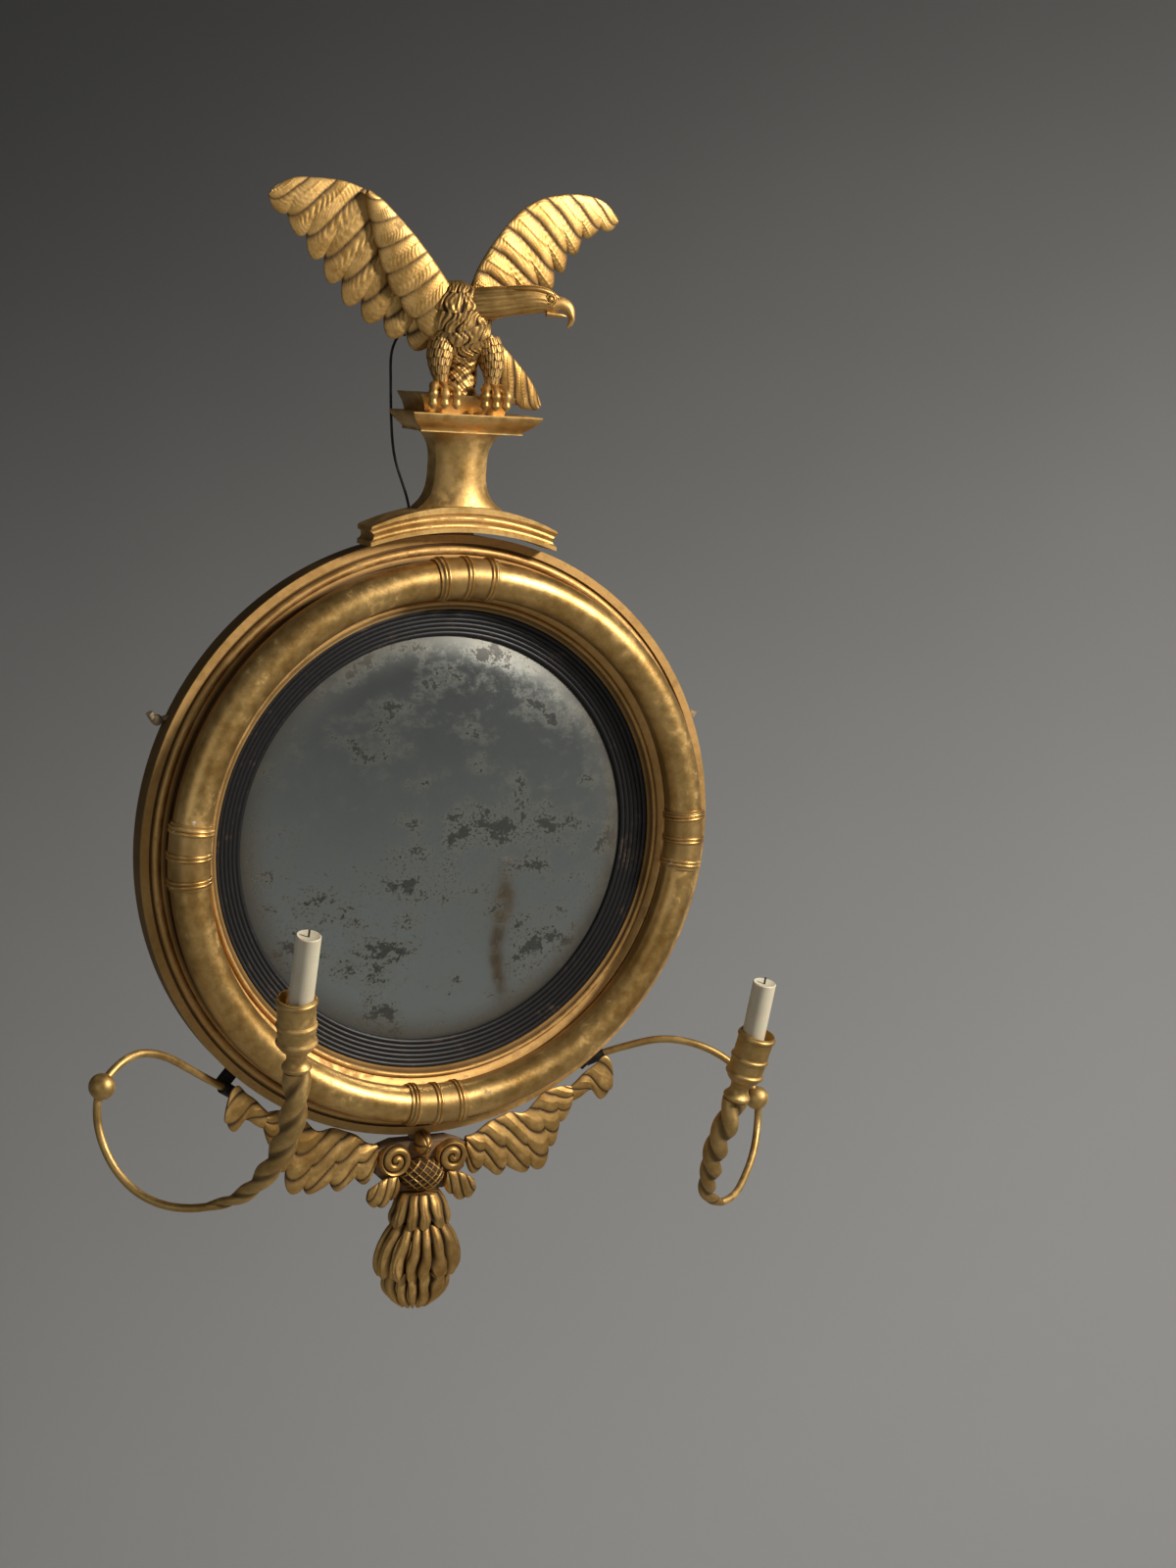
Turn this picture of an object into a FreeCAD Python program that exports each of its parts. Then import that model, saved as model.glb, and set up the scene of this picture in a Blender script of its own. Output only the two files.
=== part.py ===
import FreeCAD, Part
import math
import os
import Sketcher

# Girandole mirror: round gilt frame with a convex plate, an eagle on a plinth above,
# a carved apron below and two curled candle arms.
# The wall is the plane Y = 0, the mirror faces -Y, Z is up, and the frame's axis is Y.

Vector = FreeCAD.Vector
doc = FreeCAD.newDocument("girandole_mirror")
dims = doc.addObject("Spreadsheet::Sheet", "dims")

DRIVING_SIZES = [
    # frame
    ("rim_radius", 300, "outer radius of the round frame"),
    ("rim_depth", 25.6, "wall to the front of the outer fillet"),
    ("outer_fillet", 8, "flat fillet at the outer edge"),
    ("outer_groove", 2.6, "groove inside the outer fillet"),
    ("outer_bead", 8.4, "half-round bead inside the groove"),
    ("bead_rise", 3.4, "how far the bead stands out"),
    ("outer_band", 4.8, "flat band inside the bead"),
    ("undercut_width", 5.8, "dark channel beside the large moulding"),
    ("undercut_depth", 6, "depth of that channel below the band"),
    ("tube_ring_radius", 261, "radius of the large moulding's centre line"),
    ("tube_radius", 18.2, "radius of the large half-round moulding"),
    ("tube_seat", 16, "centre of the moulding to its flat seat"),
    ("platform_height", 33.6, "wall to the seat of the large moulding"),
    ("rebate_radius", 212, "opening that takes the glass"),
    ("slip_seat", 24, "wall to the ledge under the slip"),
    ("inner_seat", 29.5, "wall to the seat of the inner moulding"),
    ("recess_radius", 240, "recess in the back"),
    ("ledge_height", 14, "wall to the backboard's ledge"),
    ("inner_outer_radius", 245.5, "outer radius of the inner moulding"),
    ("inner_height", 8.5, "height of the inner moulding"),
    ("sight_radius", 229.1, "inner radius of the inner moulding"),
    ("slip_inner_radius", 202.5, "inner radius of the black slip"),
    ("slip_outer_radius", 238, "outer radius of the black slip"),
    ("slip_lip", 22.8, "wall to the front of the slip's inner lip"),
    ("slip_lip_thickness", 2, "thickness of the slip's lip"),
    ("reed_count", 6, "reeds on the slip"),
    # glass and back
    ("glass_radius", 208, "radius of the plate"),
    ("glass_thickness", 3, "thickness of the plate"),
    ("glass_bulge", 24, "rise of the convex plate"),
    ("glass_clearance", 0.3, "gap between plate and slip"),
    ("block_length", 24, "length of a glass block"),
    ("block_height", 4.6, "depth of a glass block"),
    ("block_count", 8, "glass blocks"),
    ("board_radius", 236, "radius of the backboard"),
    ("board_thickness", 4.5, "thickness of the backboard"),
    ("screw_circle", 225, "radius of the backboard's screw circle"),
    ("screw_radius", 1.6, "shank radius of a backboard screw"),
    ("screw_head_radius", 3.2, "head radius of a backboard screw"),
    ("screw_length", 9, "length of a backboard screw"),
    ("screw_count", 8, "backboard screws"),
    # collars
    ("collar_spread", 13.4, "arc of a collar in degrees"),
    ("collar_wall", 1.1, "wall of a collar between its ribs"),
    ("rib_step", 5.3, "degrees between the ribs of a collar"),
    ("rib_pair_step", 0.82, "degrees between the two beads of a rib"),
    ("rib_radius", 1.7, "radius of a rib's bead"),
    ("fit_clearance", 0.3, "gap between curved faces that meet"),
    ("glue_gap", 0.1, "gap of a glued flat face"),
    # plinth
    ("base_gap", 4.5, "frame to the plinth's base"),
    ("base_half_width", 96.5, "half the width of the base"),
    ("base_end_height", 18.5, "height of the base at its ends"),
    ("base_height", 24, "height of the base at its crown"),
    ("base_front", 49.6, "wall to the front of the base"),
    ("base_back", 14, "wall to the back of the base"),
    ("cove_radius", 3.1, "radius of the coves along the base"),
    ("end_cove_radius", 4.6, "radius of the coves at the base's ends"),
    ("tongue_half_width", 20, "half the width of the plinth's tongue"),
    ("tongue_thickness", 6, "thickness of both tongues"),
    ("tongue_middle", 20, "wall to the middle of both tongues"),
    ("tongue_depth", 14, "length of a tongue in each mortise"),
    ("mortise_clearance", 0.2, "gap round a tongue"),
    ("shaft_height", 69.5, "height of the plinth's shaft"),
    ("shaft_half_width", 26.4, "half the width of the shaft's waist"),
    ("shaft_front", 44, "wall to the front of the shaft's waist"),
    ("shaft_back", 9, "wall to the back of the shaft's waist"),
    ("cap_height", 17.8, "height of the plinth's cap"),
    ("cap_half_width", 66.3, "half the width of the cap at its top"),
    ("cap_front", 64, "wall to the front of the cap"),
    ("cap_back", 4, "wall to the back of the cap and slab"),
    ("cap_flare", 13.9, "how far the cap widens"),
    ("slab_height", 17.2, "height of the eagle's slab"),
    ("slab_half_width", 48.5, "half the width of the slab at its top"),
    ("slab_front", 63, "wall to the front of the slab"),
    ("slab_shift", -11, "slab's centre from the frame's axis"),
    ("slab_flare", 8, "how far the slab widens"),
    # eagle
    ("wing_thickness", 10, "thickness of a wing at its leading edge"),
    ("stay_radius", 1.3, "radius of the iron stay"),
    ("eye_radius", 4.6, "radius of a stay's screw eye"),
    ("eye_wire", 1, "wire radius of a screw eye"),
    # apron
    ("apron_gap", 5, "frame to the apron's block"),
    ("apron_back", 12, "wall to the back of the block"),
    ("apron_front", 28, "wall to the front of the block"),
    ("block_half_width", 48, "half the width of the block"),
    ("apron_block_height", 53, "height of the block"),
    ("apron_tongue_half_width", 11, "half the width of the apron's tongue"),
    ("volute_radius", 17, "radius of a volute"),
    ("volute_spread", 30.7, "volute's centre from the middle"),
    ("volute_drop", 22.7, "volute's centre below the frame"),
    ("volute_height", 10, "height of a volute's outer roll"),
    ("boss_half_width", 25, "half the width of the boss"),
    ("boss_half_height", 18, "half the height of the boss"),
    ("boss_depth", 20, "how far the boss stands out"),
    ("boss_drop", 40, "boss's centre below the frame"),
    ("bud_half_width", 10, "half the width of the bud"),
    ("bud_half_height", 13, "half the height of the bud"),
    ("bud_depth", 15, "how far the bud stands out"),
    ("bud_drop", 8.5, "bud's centre below the frame"),
    # arms
    ("rod_radius", 3.8, "radius of an arm's rod"),
    ("ball_radius", 12.2, "radius of the ball on an arm"),
    ("ferrule_radius", 6.4, "radius of the ferrule that holds a rod"),
    ("ferrule_length", 20, "length of the ferrule"),
    ("web_width", 12, "width of the ferrule's web along the rim"),
    ("web_thickness", 8, "thickness of the ferrule's web"),
    ("twist_top_radius", 13.6, "radius of the twist under its cup"),
    ("twist_turns", 3, "turns of the twist"),
    ("cup_gap", 1.6, "gap between twist and cup"),
    ("spigot_seat", 0.4, "twist to the spigot's shoulder"),
    ("spigot_radius", 3.2, "radius of the spigot"),
    ("spigot_length", 22, "length of the spigot above the twist"),
    ("spigot_clearance", 0.3, "gap round the spigot"),
    ("spigot_shoulder", 5.6, "radius of the spigot's shoulder"),
    ("cup_radius", 18.4, "radius of a cup's rim bead"),
    ("cup_bore", 15.5, "radius inside a cup"),
    ("cup_height", 70.5, "height of a cup with its neck"),
    ("cup_floor", 32, "foot of a cup to its floor"),
    ("candle_radius", 11, "radius of a candle"),
    ("left_candle_length", 98, "length of the left candle"),
    ("right_candle_length", 89, "length of the right candle"),
    ("candle_lean", 6, "lean of a candle in its cup in degrees"),
    ("wick_radius", 0.9, "radius of a wick"),
    ("wick_height", 5, "height of a wick above its candle"),
    ("wick_hole_depth", 4, "depth of a wick in its candle"),
    # hanging rope
    ("rope_radius", 2.5, "radius of the hanging rope"),
    ("rope_depth", 6.2, "wall to the middle of the rope"),
    ("rope_apex", 190, "height of the rope's apex over the axis"),
    ("rope_bend", 15, "radius of the rope's bend over its hook"),
    ("rope_hole_angle", 24, "degrees above the horizontal of the rope's holes"),
    ("rope_hole_clearance", 0.3, "gap round the rope in its holes"),
    ("knot_radius", 5.4, "radius of a stopper knot"),
    ("knot_gap", 4.6, "rim to the flat of a stopper knot, along the rope"),
    ("knot_tail", 9, "length of the frayed end of the left knot"),
    ("knot_short_tail", 5, "length of the right knot's end"),
]
for row, (name, value, meaning) in enumerate(DRIVING_SIZES, start=1):
    dims.set("A%d" % row, meaning)
    dims.set("B%d" % row, str(value))
    dims.setAlias("B%d" % row, name)
doc.recompute()

nodes = []


def size(expression):
    """Value of an expression in the sheet's names."""
    result = dims.evalExpression(expression)
    return float(getattr(result, "Value", result))


def get(name):
    """Value of one driving size."""
    return float(dims.get(name))


# ---------------------------------------------------------------- drawing helpers

def new_body(label):
    body = doc.addObject("PartDesign::Body", label)
    body.Label = label
    nodes.append(body)
    return body


def new_sketch(body, role, offset="0"):
    """Sketch on one of the body's own origin planes, moved along its normal."""
    plane = [f for f in body.Origin.OriginFeatures if f.Role == role][0]
    sketch = body.newObject("Sketcher::SketchObject", "Sketch")
    sketch.AttachmentSupport = [(plane, "")]
    sketch.MapMode = "FlatFace"
    sketch.setExpression(".AttachmentOffset.Base.z", offset)
    return sketch


def bowed_side(start, end, radius):
    """Arc from start to end; a positive radius bows to the left of the way."""
    chord = end - start
    half = chord.Length / 2
    bow = abs(radius) - math.sqrt(max(radius * radius - half * half, 0))
    left = Vector(-chord.y, chord.x, 0).normalize()
    middle = (start + end) * 0.5 + left * math.copysign(bow, radius)
    return Part.Arc(start, middle, end)


def pin_point(sketch, geometry, position, corner, rules):
    """Rules that hold one end of a side at the corner's expressions."""
    for kind, axis, expression in (("DistanceX", -2, corner[0]), ("DistanceY", -1, corner[1])):
        value = size(expression)
        if abs(value) < 1e-9:
            rules.append((Sketcher.Constraint("PointOnObject", geometry, position, axis), None))
        else:
            rule = Sketcher.Constraint(kind, -1, 1, geometry, position, value)
            rules.append((rule, expression))


def draw_outline(sketch, corners):
    """Closed outline. A corner is (x, y) or (x, y, radius of the side that reaches it)."""
    first = sketch.GeometryCount
    points = [Vector(size(corner[0]), size(corner[1]), 0) for corner in corners]
    ends = []
    rules = []
    for index, corner in enumerate(corners):
        start = points[index - 1]
        end = points[index]
        if len(corner) == 2:
            side = Part.LineSegment(start, end)
        else:
            side = bowed_side(start, end, size(corner[2]))
        geometry = sketch.addGeometry(side, False)
        forward = (sketch.getPoint(geometry, 2) - end).Length < 1e-6
        ends.append((1, 2) if forward else (2, 1))
        if len(corner) == 3:
            radius = abs(size(corner[2]))
            rule = Sketcher.Constraint("Radius", geometry, radius)
            rules.append((rule, "abs(%s)" % corner[2]))
    for index, corner in enumerate(corners):
        following = (index + 1) % len(corners)
        here = first + index
        after = first + following
        joined = Sketcher.Constraint("Coincident", here, ends[index][1], after, ends[following][0])
        rules.append((joined, None))
        pin_point(sketch, here, ends[index][1], corner, rules)
    apply_rules(sketch, rules)


def draw_circle(sketch, x, y, radius):
    centre = Vector(size(x), size(y), 0)
    geometry = sketch.addGeometry(Part.Circle(centre, Vector(0, 0, 1), size(radius)), False)
    rules = [(Sketcher.Constraint("Radius", geometry, size(radius)), radius)]
    pin_point(sketch, geometry, 3, (x, y), rules)
    apply_rules(sketch, rules)


def apply_rules(sketch, rules):
    number = sketch.ConstraintCount
    sketch.addConstraint([rule for rule, expression in rules])
    for rule, expression in rules:
        if expression:
            sketch.setExpression("Constraints[%d]" % number, expression)
        number += 1


def turned(label, corners, role="XY_Plane"):
    """Body turned about its sketch's upright axis."""
    body = new_body(label)
    sketch = new_sketch(body, role)
    draw_outline(sketch, corners)
    turning = body.newObject("PartDesign::Revolution", "Turning")
    turning.Profile = sketch
    turning.ReferenceAxis = (sketch, ["V_Axis"])
    turning.Angle = 360
    sketch.Visibility = False
    return body


def padded(body, sketch, length):
    pad = body.newObject("PartDesign::Pad", "Pad")
    pad.Profile = sketch
    pad.setExpression("Length", length)
    sketch.Visibility = False
    return pad


def lofted_levels(label, levels):
    """Body lofted through level outlines; each level is (height, corners)."""
    body = new_body(label)
    sketches = []
    for height, corners in levels:
        sketch = new_sketch(body, "XY_Plane", height)
        draw_outline(sketch, corners)
        sketches.append(sketch)
    loft = body.newObject("PartDesign::AdditiveLoft", "Loft")
    loft.Profile = sketches[0]
    loft.Sections = sketches[1:]
    loft.Ruled = False
    return body


def shaped(label, shape):
    """Sub-part whose form is worked out from points."""
    feature = doc.addObject("Part::Feature", label)
    feature.Label = label
    feature.Shape = shape
    nodes.append(feature)
    return feature


def smooth_curve(points):
    curve = Part.BSplineCurve()
    curve.interpolate(Points=points)
    return curve


def sample(points, count):
    """Points evenly spread in the parameter of the smooth curve through some points."""
    curve = smooth_curve(points)
    first = curve.FirstParameter
    last = curve.LastParameter
    return [curve.value(first + (last - first) * k / (count - 1)) for k in range(count)]


def ring_wire(points):
    """Closed smooth wire; even knots keep the sections of one loft alike."""
    knots = [k / len(points) for k in range(len(points) + 1)]
    curve = Part.BSplineCurve()
    curve.interpolate(Points=points, PeriodicFlag=True, Parameters=knots)
    return Part.Wire(curve.toShape())


def rod_shape(points, radius):
    """Round bar along the smooth curve through some points."""
    curve = smooth_curve(points)
    spine = Part.Wire(curve.toShape())
    direction = curve.tangent(curve.FirstParameter)[0]
    profile = Part.Wire(Part.makeCircle(radius, points[0], direction))
    return spine.makePipeShell([profile], True, False)


def box_shape(low, high):
    return Part.makeBox(high.x - low.x, high.y - low.y, high.z - low.z, low)


# ---------------------------------------------------------------- carved shapes

POINTS_ROUND = 16


def blade_section(edge_a, edge_b, thickness, relief, ribs):
    """Closed section of a carved blade between two edge points, ribbed on its front."""
    points = []
    for k in range(POINTS_ROUND):
        angle = 2 * math.pi * k / POINTS_ROUND
        share = (1 - math.cos(angle)) / 2
        along = edge_a + (edge_b - edge_a) * share
        lift = thickness / 2 * math.sin(angle)
        if lift > 0:
            lift *= 1 + relief * math.cos(2 * math.pi * ribs * share)
        points.append(along + Vector(0, -lift, 0))
    return ring_wire(points)


def blade(edges_a, edges_b, thicknesses, lobes, notch, relief=0.25, ribs=2, stations=3):
    """Carved blade between two edge lines; the second edge has lobes with notches between."""
    count = lobes * stations + 1
    line_a = sample(edges_a, count)
    line_b = sample(edges_b, count)
    heights = sample([Vector(i, t, 0) for i, t in enumerate(thicknesses)], count)
    wires = []
    for k in range(count):
        wave = abs(math.sin(math.pi * k / stations))
        a = line_a[k]
        b = a + (line_b[k] - a) * (1 - notch * (1 - wave))
        thickness = heights[k].y * (0.8 + 0.2 * wave)
        wires.append(blade_section(a, b, thickness, relief, ribs))
    return Part.makeLoft(wires, True, False)


def round_section(centre, across, over, half_across, half_over, lobes, relief):
    """Points of an oval section in the plane of two directions, fluted by some lobes."""
    points = []
    count = max(12, 4 * lobes)
    for k in range(count):
        angle = 2 * math.pi * k / count
        flute = 1 + relief * math.cos(lobes * angle)
        side = across * (half_across * flute * math.cos(angle))
        lift = over * (half_over * flute * math.sin(angle))
        points.append(centre + side + lift)
    return points


def limb(stations, over, lobes=0, relief=0.0, faceted=False):
    """Solid through ovals, smooth or faceted; a station is (centre, half width, half height)."""
    wires = []
    for index, (centre, half_across, half_over) in enumerate(stations):
        before = stations[max(index - 1, 0)][0]
        after = stations[min(index + 1, len(stations) - 1)][0]
        way = (after - before).normalize()
        across = way.cross(over).normalize()
        up = across.cross(way).normalize()
        ring = round_section(centre, across, up, half_across, half_over, lobes, relief)
        wires.append(Part.makePolygon(ring + ring[:1]) if faceted else ring_wire(ring))
    return Part.makeLoft(wires, True, faceted)


# ---------------------------------------------------------------- round frame

OUT = "dims.rim_radius"
FRONT = "dims.rim_depth"
GROOVE_IN = OUT + " - dims.outer_fillet - dims.outer_groove"
BEAD_IN = GROOVE_IN + " - dims.outer_bead"
BAND_IN = BEAD_IN + " - dims.outer_band"
BAND_HEIGHT = "dims.rim_depth + 1.9"
CHANNEL_IN = BAND_IN + " - dims.undercut_width"
BEAD_ARC = "(dims.bead_rise ^ 2 + (dims.outer_bead / 2) ^ 2) / (2 * dims.bead_rise)"


def frame_rim():
    """Turned wooden rim: rebate, back recess, outer mouldings and their channel."""
    profile = [
        ("dims.recess_radius", "0"),
        (OUT + " - 0.6", "0"),
        (OUT, "-(%s)" % FRONT),
        (OUT + " - dims.outer_fillet", "-(%s)" % FRONT),
        (OUT + " - dims.outer_fillet - 0.6", "-(%s) + 2.2" % FRONT),
        (GROOVE_IN + " + 0.6", "-(%s) + 2.2" % FRONT),
        (GROOVE_IN, "-(%s) - 0.4" % FRONT),
        (BEAD_IN, "-(%s) - 0.4" % FRONT, BEAD_ARC),
        (BEAD_IN, "-(%s)" % BAND_HEIGHT),
        (BAND_IN, "-(%s)" % BAND_HEIGHT),
        (BAND_IN, "-(%s) + dims.undercut_depth" % BAND_HEIGHT),
        (CHANNEL_IN, "-(%s) + dims.undercut_depth" % BAND_HEIGHT),
        (CHANNEL_IN, "-dims.platform_height"),
        ("dims.inner_outer_radius + dims.fit_clearance", "-dims.platform_height"),
        ("dims.inner_outer_radius + dims.fit_clearance", "-dims.inner_seat"),
        ("dims.slip_outer_radius", "-dims.inner_seat"),
        ("dims.slip_outer_radius", "-dims.slip_seat"),
        ("dims.rebate_radius", "-dims.slip_seat"),
        ("dims.rebate_radius", "-dims.ledge_height"),
        ("dims.recess_radius", "-dims.ledge_height"),
    ]
    blank = turned("rim_blank", profile)
    nodes.remove(blank)
    blank.Visibility = False
    tools = [rope_hole(side) for side in (-1, 1)] + [mortise(side) for side in (1, -1)]
    tools += screw_bores()
    cutters = doc.addObject("Part::Compound", "rim_cutters")
    cutters.Links = tools
    rim = doc.addObject("Part::Cut", "frame_rim")
    rim.Label = "frame_rim"
    rim.Base = blank
    rim.Tool = cutters
    nodes.append(rim)


def rope_side_point(side):
    """Where the middle of the rope leaves the rim."""
    angle = math.radians(get("rope_hole_angle"))
    radius = get("rim_radius")
    return Vector(side * radius * math.cos(angle), -get("rope_depth"), radius * math.sin(angle))


def rope_apex_point():
    return Vector(0, -get("rope_depth"), get("rope_apex"))


def rope_hole(side):
    """Skew hole through the rim, in line with the taut rope."""
    hole = doc.addObject("Part::Cylinder", "rope_hole")
    hole.setExpression("Radius", "dims.rope_radius + dims.rope_hole_clearance")
    way = (rope_side_point(side) - rope_apex_point()).normalize()
    reach = 1.6 * (get("rim_radius") - get("recess_radius"))
    hole.Height = 2 * reach
    past_rim = 12
    start = rope_side_point(side) - way * (2 * reach - past_rim)
    hole.Placement = FreeCAD.Placement(start, FreeCAD.Rotation(Vector(0, 0, 1), way))
    hole.Visibility = False
    return hole


def mortise(side):
    """Mortise in the rim's edge: upward for the plinth's tongue, downward for the apron's."""
    name = "tongue_half_width" if side > 0 else "apron_tongue_half_width"
    slot = doc.addObject("Part::Box", "mortise")
    slot.setExpression("Length", "2 * (dims.%s + dims.mortise_clearance)" % name)
    slot.setExpression("Width", "dims.tongue_thickness + 2 * dims.mortise_clearance")
    slot.setExpression("Height", "dims.tongue_depth + 2 * dims.mortise_clearance + 6")
    slot.setExpression(".Placement.Base.x", "-(dims.%s + dims.mortise_clearance)" % name)
    slot.setExpression(".Placement.Base.y",
                       "-dims.tongue_middle - dims.tongue_thickness / 2 - dims.mortise_clearance")
    low = "dims.rim_radius - dims.tongue_depth - dims.mortise_clearance"
    if side < 0:
        low = "-(%s) - dims.tongue_depth - 2 * dims.mortise_clearance - 6" % low
    slot.setExpression(".Placement.Base.z", low)
    slot.Visibility = False
    return slot


def screw_places():
    """Places of the backboard's screws, half a step off the upright."""
    count = int(get("screw_count"))
    places = []
    for k in range(count):
        angle = 2 * math.pi * (k + 0.5) / count
        radius = get("screw_circle")
        places.append(Vector(radius * math.sin(angle), 0, radius * math.cos(angle)))
    return places


TOWARD_FRONT = FreeCAD.Rotation(Vector(0, 0, 1), Vector(0, -1, 0))


def screw_bores():
    bores = []
    for place in screw_places():
        bore = doc.addObject("Part::Cylinder", "screw_bore")
        bore.setExpression("Radius", "dims.screw_radius + 0.1")
        bore.setExpression("Height", "dims.screw_length - dims.board_thickness + 1")
        base = place + Vector(0, -get("ledge_height") + 0.5, 0)
        bore.Placement = FreeCAD.Placement(base, TOWARD_FRONT)
        bore.Visibility = False
        bores.append(bore)
    return bores


def torus_moulding():
    """Large burnished half-round, flat where it is glued to the rim."""
    half = "sqrt(dims.tube_radius ^ 2 - dims.tube_seat ^ 2)"
    crest = "-(dims.platform_height + dims.tube_seat + dims.tube_radius)"
    turned("torus_moulding", [
        ("dims.tube_ring_radius - %s" % half, "-dims.platform_height", "dims.tube_radius"),
        ("dims.tube_ring_radius + %s" % half, "-dims.platform_height"),
        ("dims.tube_ring_radius + dims.tube_radius",
         "-(dims.platform_height + dims.tube_seat)", "dims.tube_radius"),
        ("dims.tube_ring_radius", crest, "dims.tube_radius"),
        ("dims.tube_ring_radius - dims.tube_radius",
         "-(dims.platform_height + dims.tube_seat)", "dims.tube_radius"),
    ])


def inner_moulding():
    """Cove, bead and flat band between the large moulding and the slip."""
    turned("inner_moulding", [
        ("dims.sight_radius", "-dims.inner_seat"),
        ("dims.inner_outer_radius", "-dims.inner_seat"),
        ("dims.inner_outer_radius", "-dims.inner_seat - dims.inner_height"),
        ("dims.sight_radius + 9.6", "-dims.inner_seat - dims.inner_height * 0.55", "-22"),
        ("dims.sight_radius + 9", "-dims.inner_seat - dims.inner_height * 0.7"),
        ("dims.sight_radius + 4.4", "-dims.inner_seat - dims.inner_height * 0.62", "2.6"),
        ("dims.sight_radius + 4.2", "-dims.inner_seat - dims.inner_height * 0.34"),
        ("dims.sight_radius + 0.4", "-dims.inner_seat - dims.inner_height * 0.3"),
        ("dims.sight_radius", "-dims.inner_seat - dims.inner_height * 0.2"),
    ])


def reeded_slip():
    """Black slip that slopes down to the plate, with half-round reeds."""
    count = int(get("reed_count"))
    profile = [
        ("dims.slip_inner_radius", "-dims.slip_lip + dims.slip_lip_thickness"),
        ("dims.rebate_radius - dims.fit_clearance", "-dims.slip_lip + dims.slip_lip_thickness"),
        ("dims.rebate_radius - dims.fit_clearance", "-dims.slip_seat"),
        ("dims.slip_outer_radius - dims.fit_clearance", "-dims.slip_seat"),
        ("dims.slip_outer_radius - dims.fit_clearance", "-dims.inner_seat"),
        ("dims.sight_radius", "-dims.inner_seat"),
    ]
    for reed in range(1, count + 1):
        share = "%d / %d" % (reed, count)
        x = "dims.sight_radius - (dims.sight_radius - dims.slip_inner_radius) * %s" % share
        y = "-dims.inner_seat + (dims.inner_seat - dims.slip_lip) * %s" % share
        width = "(dims.sight_radius - dims.slip_inner_radius) / %d" % count
        profile.append((x, y, "(%s) * 0.62" % width))
    turned("reeded_slip", profile)


def glass_edge_front():
    """Depth of the plate's front face at its edge."""
    return "dims.slip_lip - dims.slip_lip_thickness - dims.glass_clearance"


PLATE_CURVE = "((dims.glass_radius ^ 2 + dims.glass_bulge ^ 2) / (2 * dims.glass_bulge))"


def mirror_glass():
    """Convex plate of even thickness."""
    edge = "-(%s) + 1.4" % glass_edge_front()
    turned("mirror_glass", [
        ("0", "%s - dims.glass_bulge + dims.glass_thickness" % edge),
        ("dims.glass_radius", "%s + dims.glass_thickness" % edge, "-" + PLATE_CURVE),
        ("dims.glass_radius", edge),
        ("0", "%s - dims.glass_bulge" % edge, PLATE_CURVE),
    ])


def glass_blocks():
    """Wooden blocks that centre the plate in the rebate."""
    count = int(get("block_count"))
    blocks = []
    for k in range(count):
        block = doc.addObject("Part::Box", "glass_block")
        block.setExpression("Length", "dims.block_length")
        block.setExpression("Width", "dims.block_height")
        block.setExpression("Height", "dims.rebate_radius - dims.glass_radius - 0.9")
        turn = FreeCAD.Rotation(Vector(0, 1, 0), 360.0 * k / count)
        corner = Vector(-get("block_length") / 2, -get("ledge_height") - get("block_height"),
                        get("glass_radius") + 0.2)
        block.Placement = FreeCAD.Placement(turn.multVec(corner), turn)
        block.Visibility = False
        blocks.append(block)
    group = doc.addObject("Part::Compound", "glass_blocks")
    group.Label = "glass_blocks"
    group.Links = blocks
    nodes.append(group)


def backboard():
    """Thin round board in the back recess, bored for its screws."""
    body = new_body("backboard")
    sketch = new_sketch(body, "XZ_Plane", "dims.ledge_height - dims.board_thickness")
    draw_circle(sketch, "0", "0", "dims.board_radius")
    padded(body, sketch, "dims.board_thickness")
    bores = new_sketch(body, "XZ_Plane", "dims.ledge_height - dims.board_thickness / 2")
    count = int(get("screw_count"))
    for k in range(count):
        angle = 360.0 * (k + 0.5) / count
        draw_circle(bores, "dims.screw_circle * sin(%g deg)" % angle,
                    "dims.screw_circle * cos(%g deg)" % angle, "dims.screw_radius + 0.1")
    pocket = body.newObject("PartDesign::Pocket", "Bores")
    pocket.Profile = bores
    pocket.SideType = "Symmetric"
    pocket.setExpression("Length", "dims.board_thickness * 2")


def backboard_screws():
    """Steel screws with domed heads."""
    screws = []
    for place in screw_places():
        base = place + Vector(0, -get("ledge_height") + get("board_thickness"), 0)
        shank = doc.addObject("Part::Cylinder", "screw_shank")
        shank.setExpression("Radius", "dims.screw_radius")
        shank.setExpression("Height", "dims.screw_length")
        shank.Placement = FreeCAD.Placement(base, TOWARD_FRONT)
        head = doc.addObject("Part::Sphere", "screw_head")
        head.setExpression("Radius", "dims.screw_head_radius")
        head.Angle1 = 0
        head.Angle2 = 90
        head.Placement = FreeCAD.Placement(base, FreeCAD.Rotation(Vector(0, 0, 1), Vector(0, 1, 0)))
        screw = doc.addObject("Part::Fuse", "screw")
        screw.Base = shank
        screw.Tool = head
        shank.Visibility = False
        head.Visibility = False
        screw.Visibility = False
        screws.append(screw)
    group = doc.addObject("Part::Compound", "backboard_screws")
    group.Label = "backboard_screws"
    group.Links = screws
    nodes.append(group)


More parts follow.
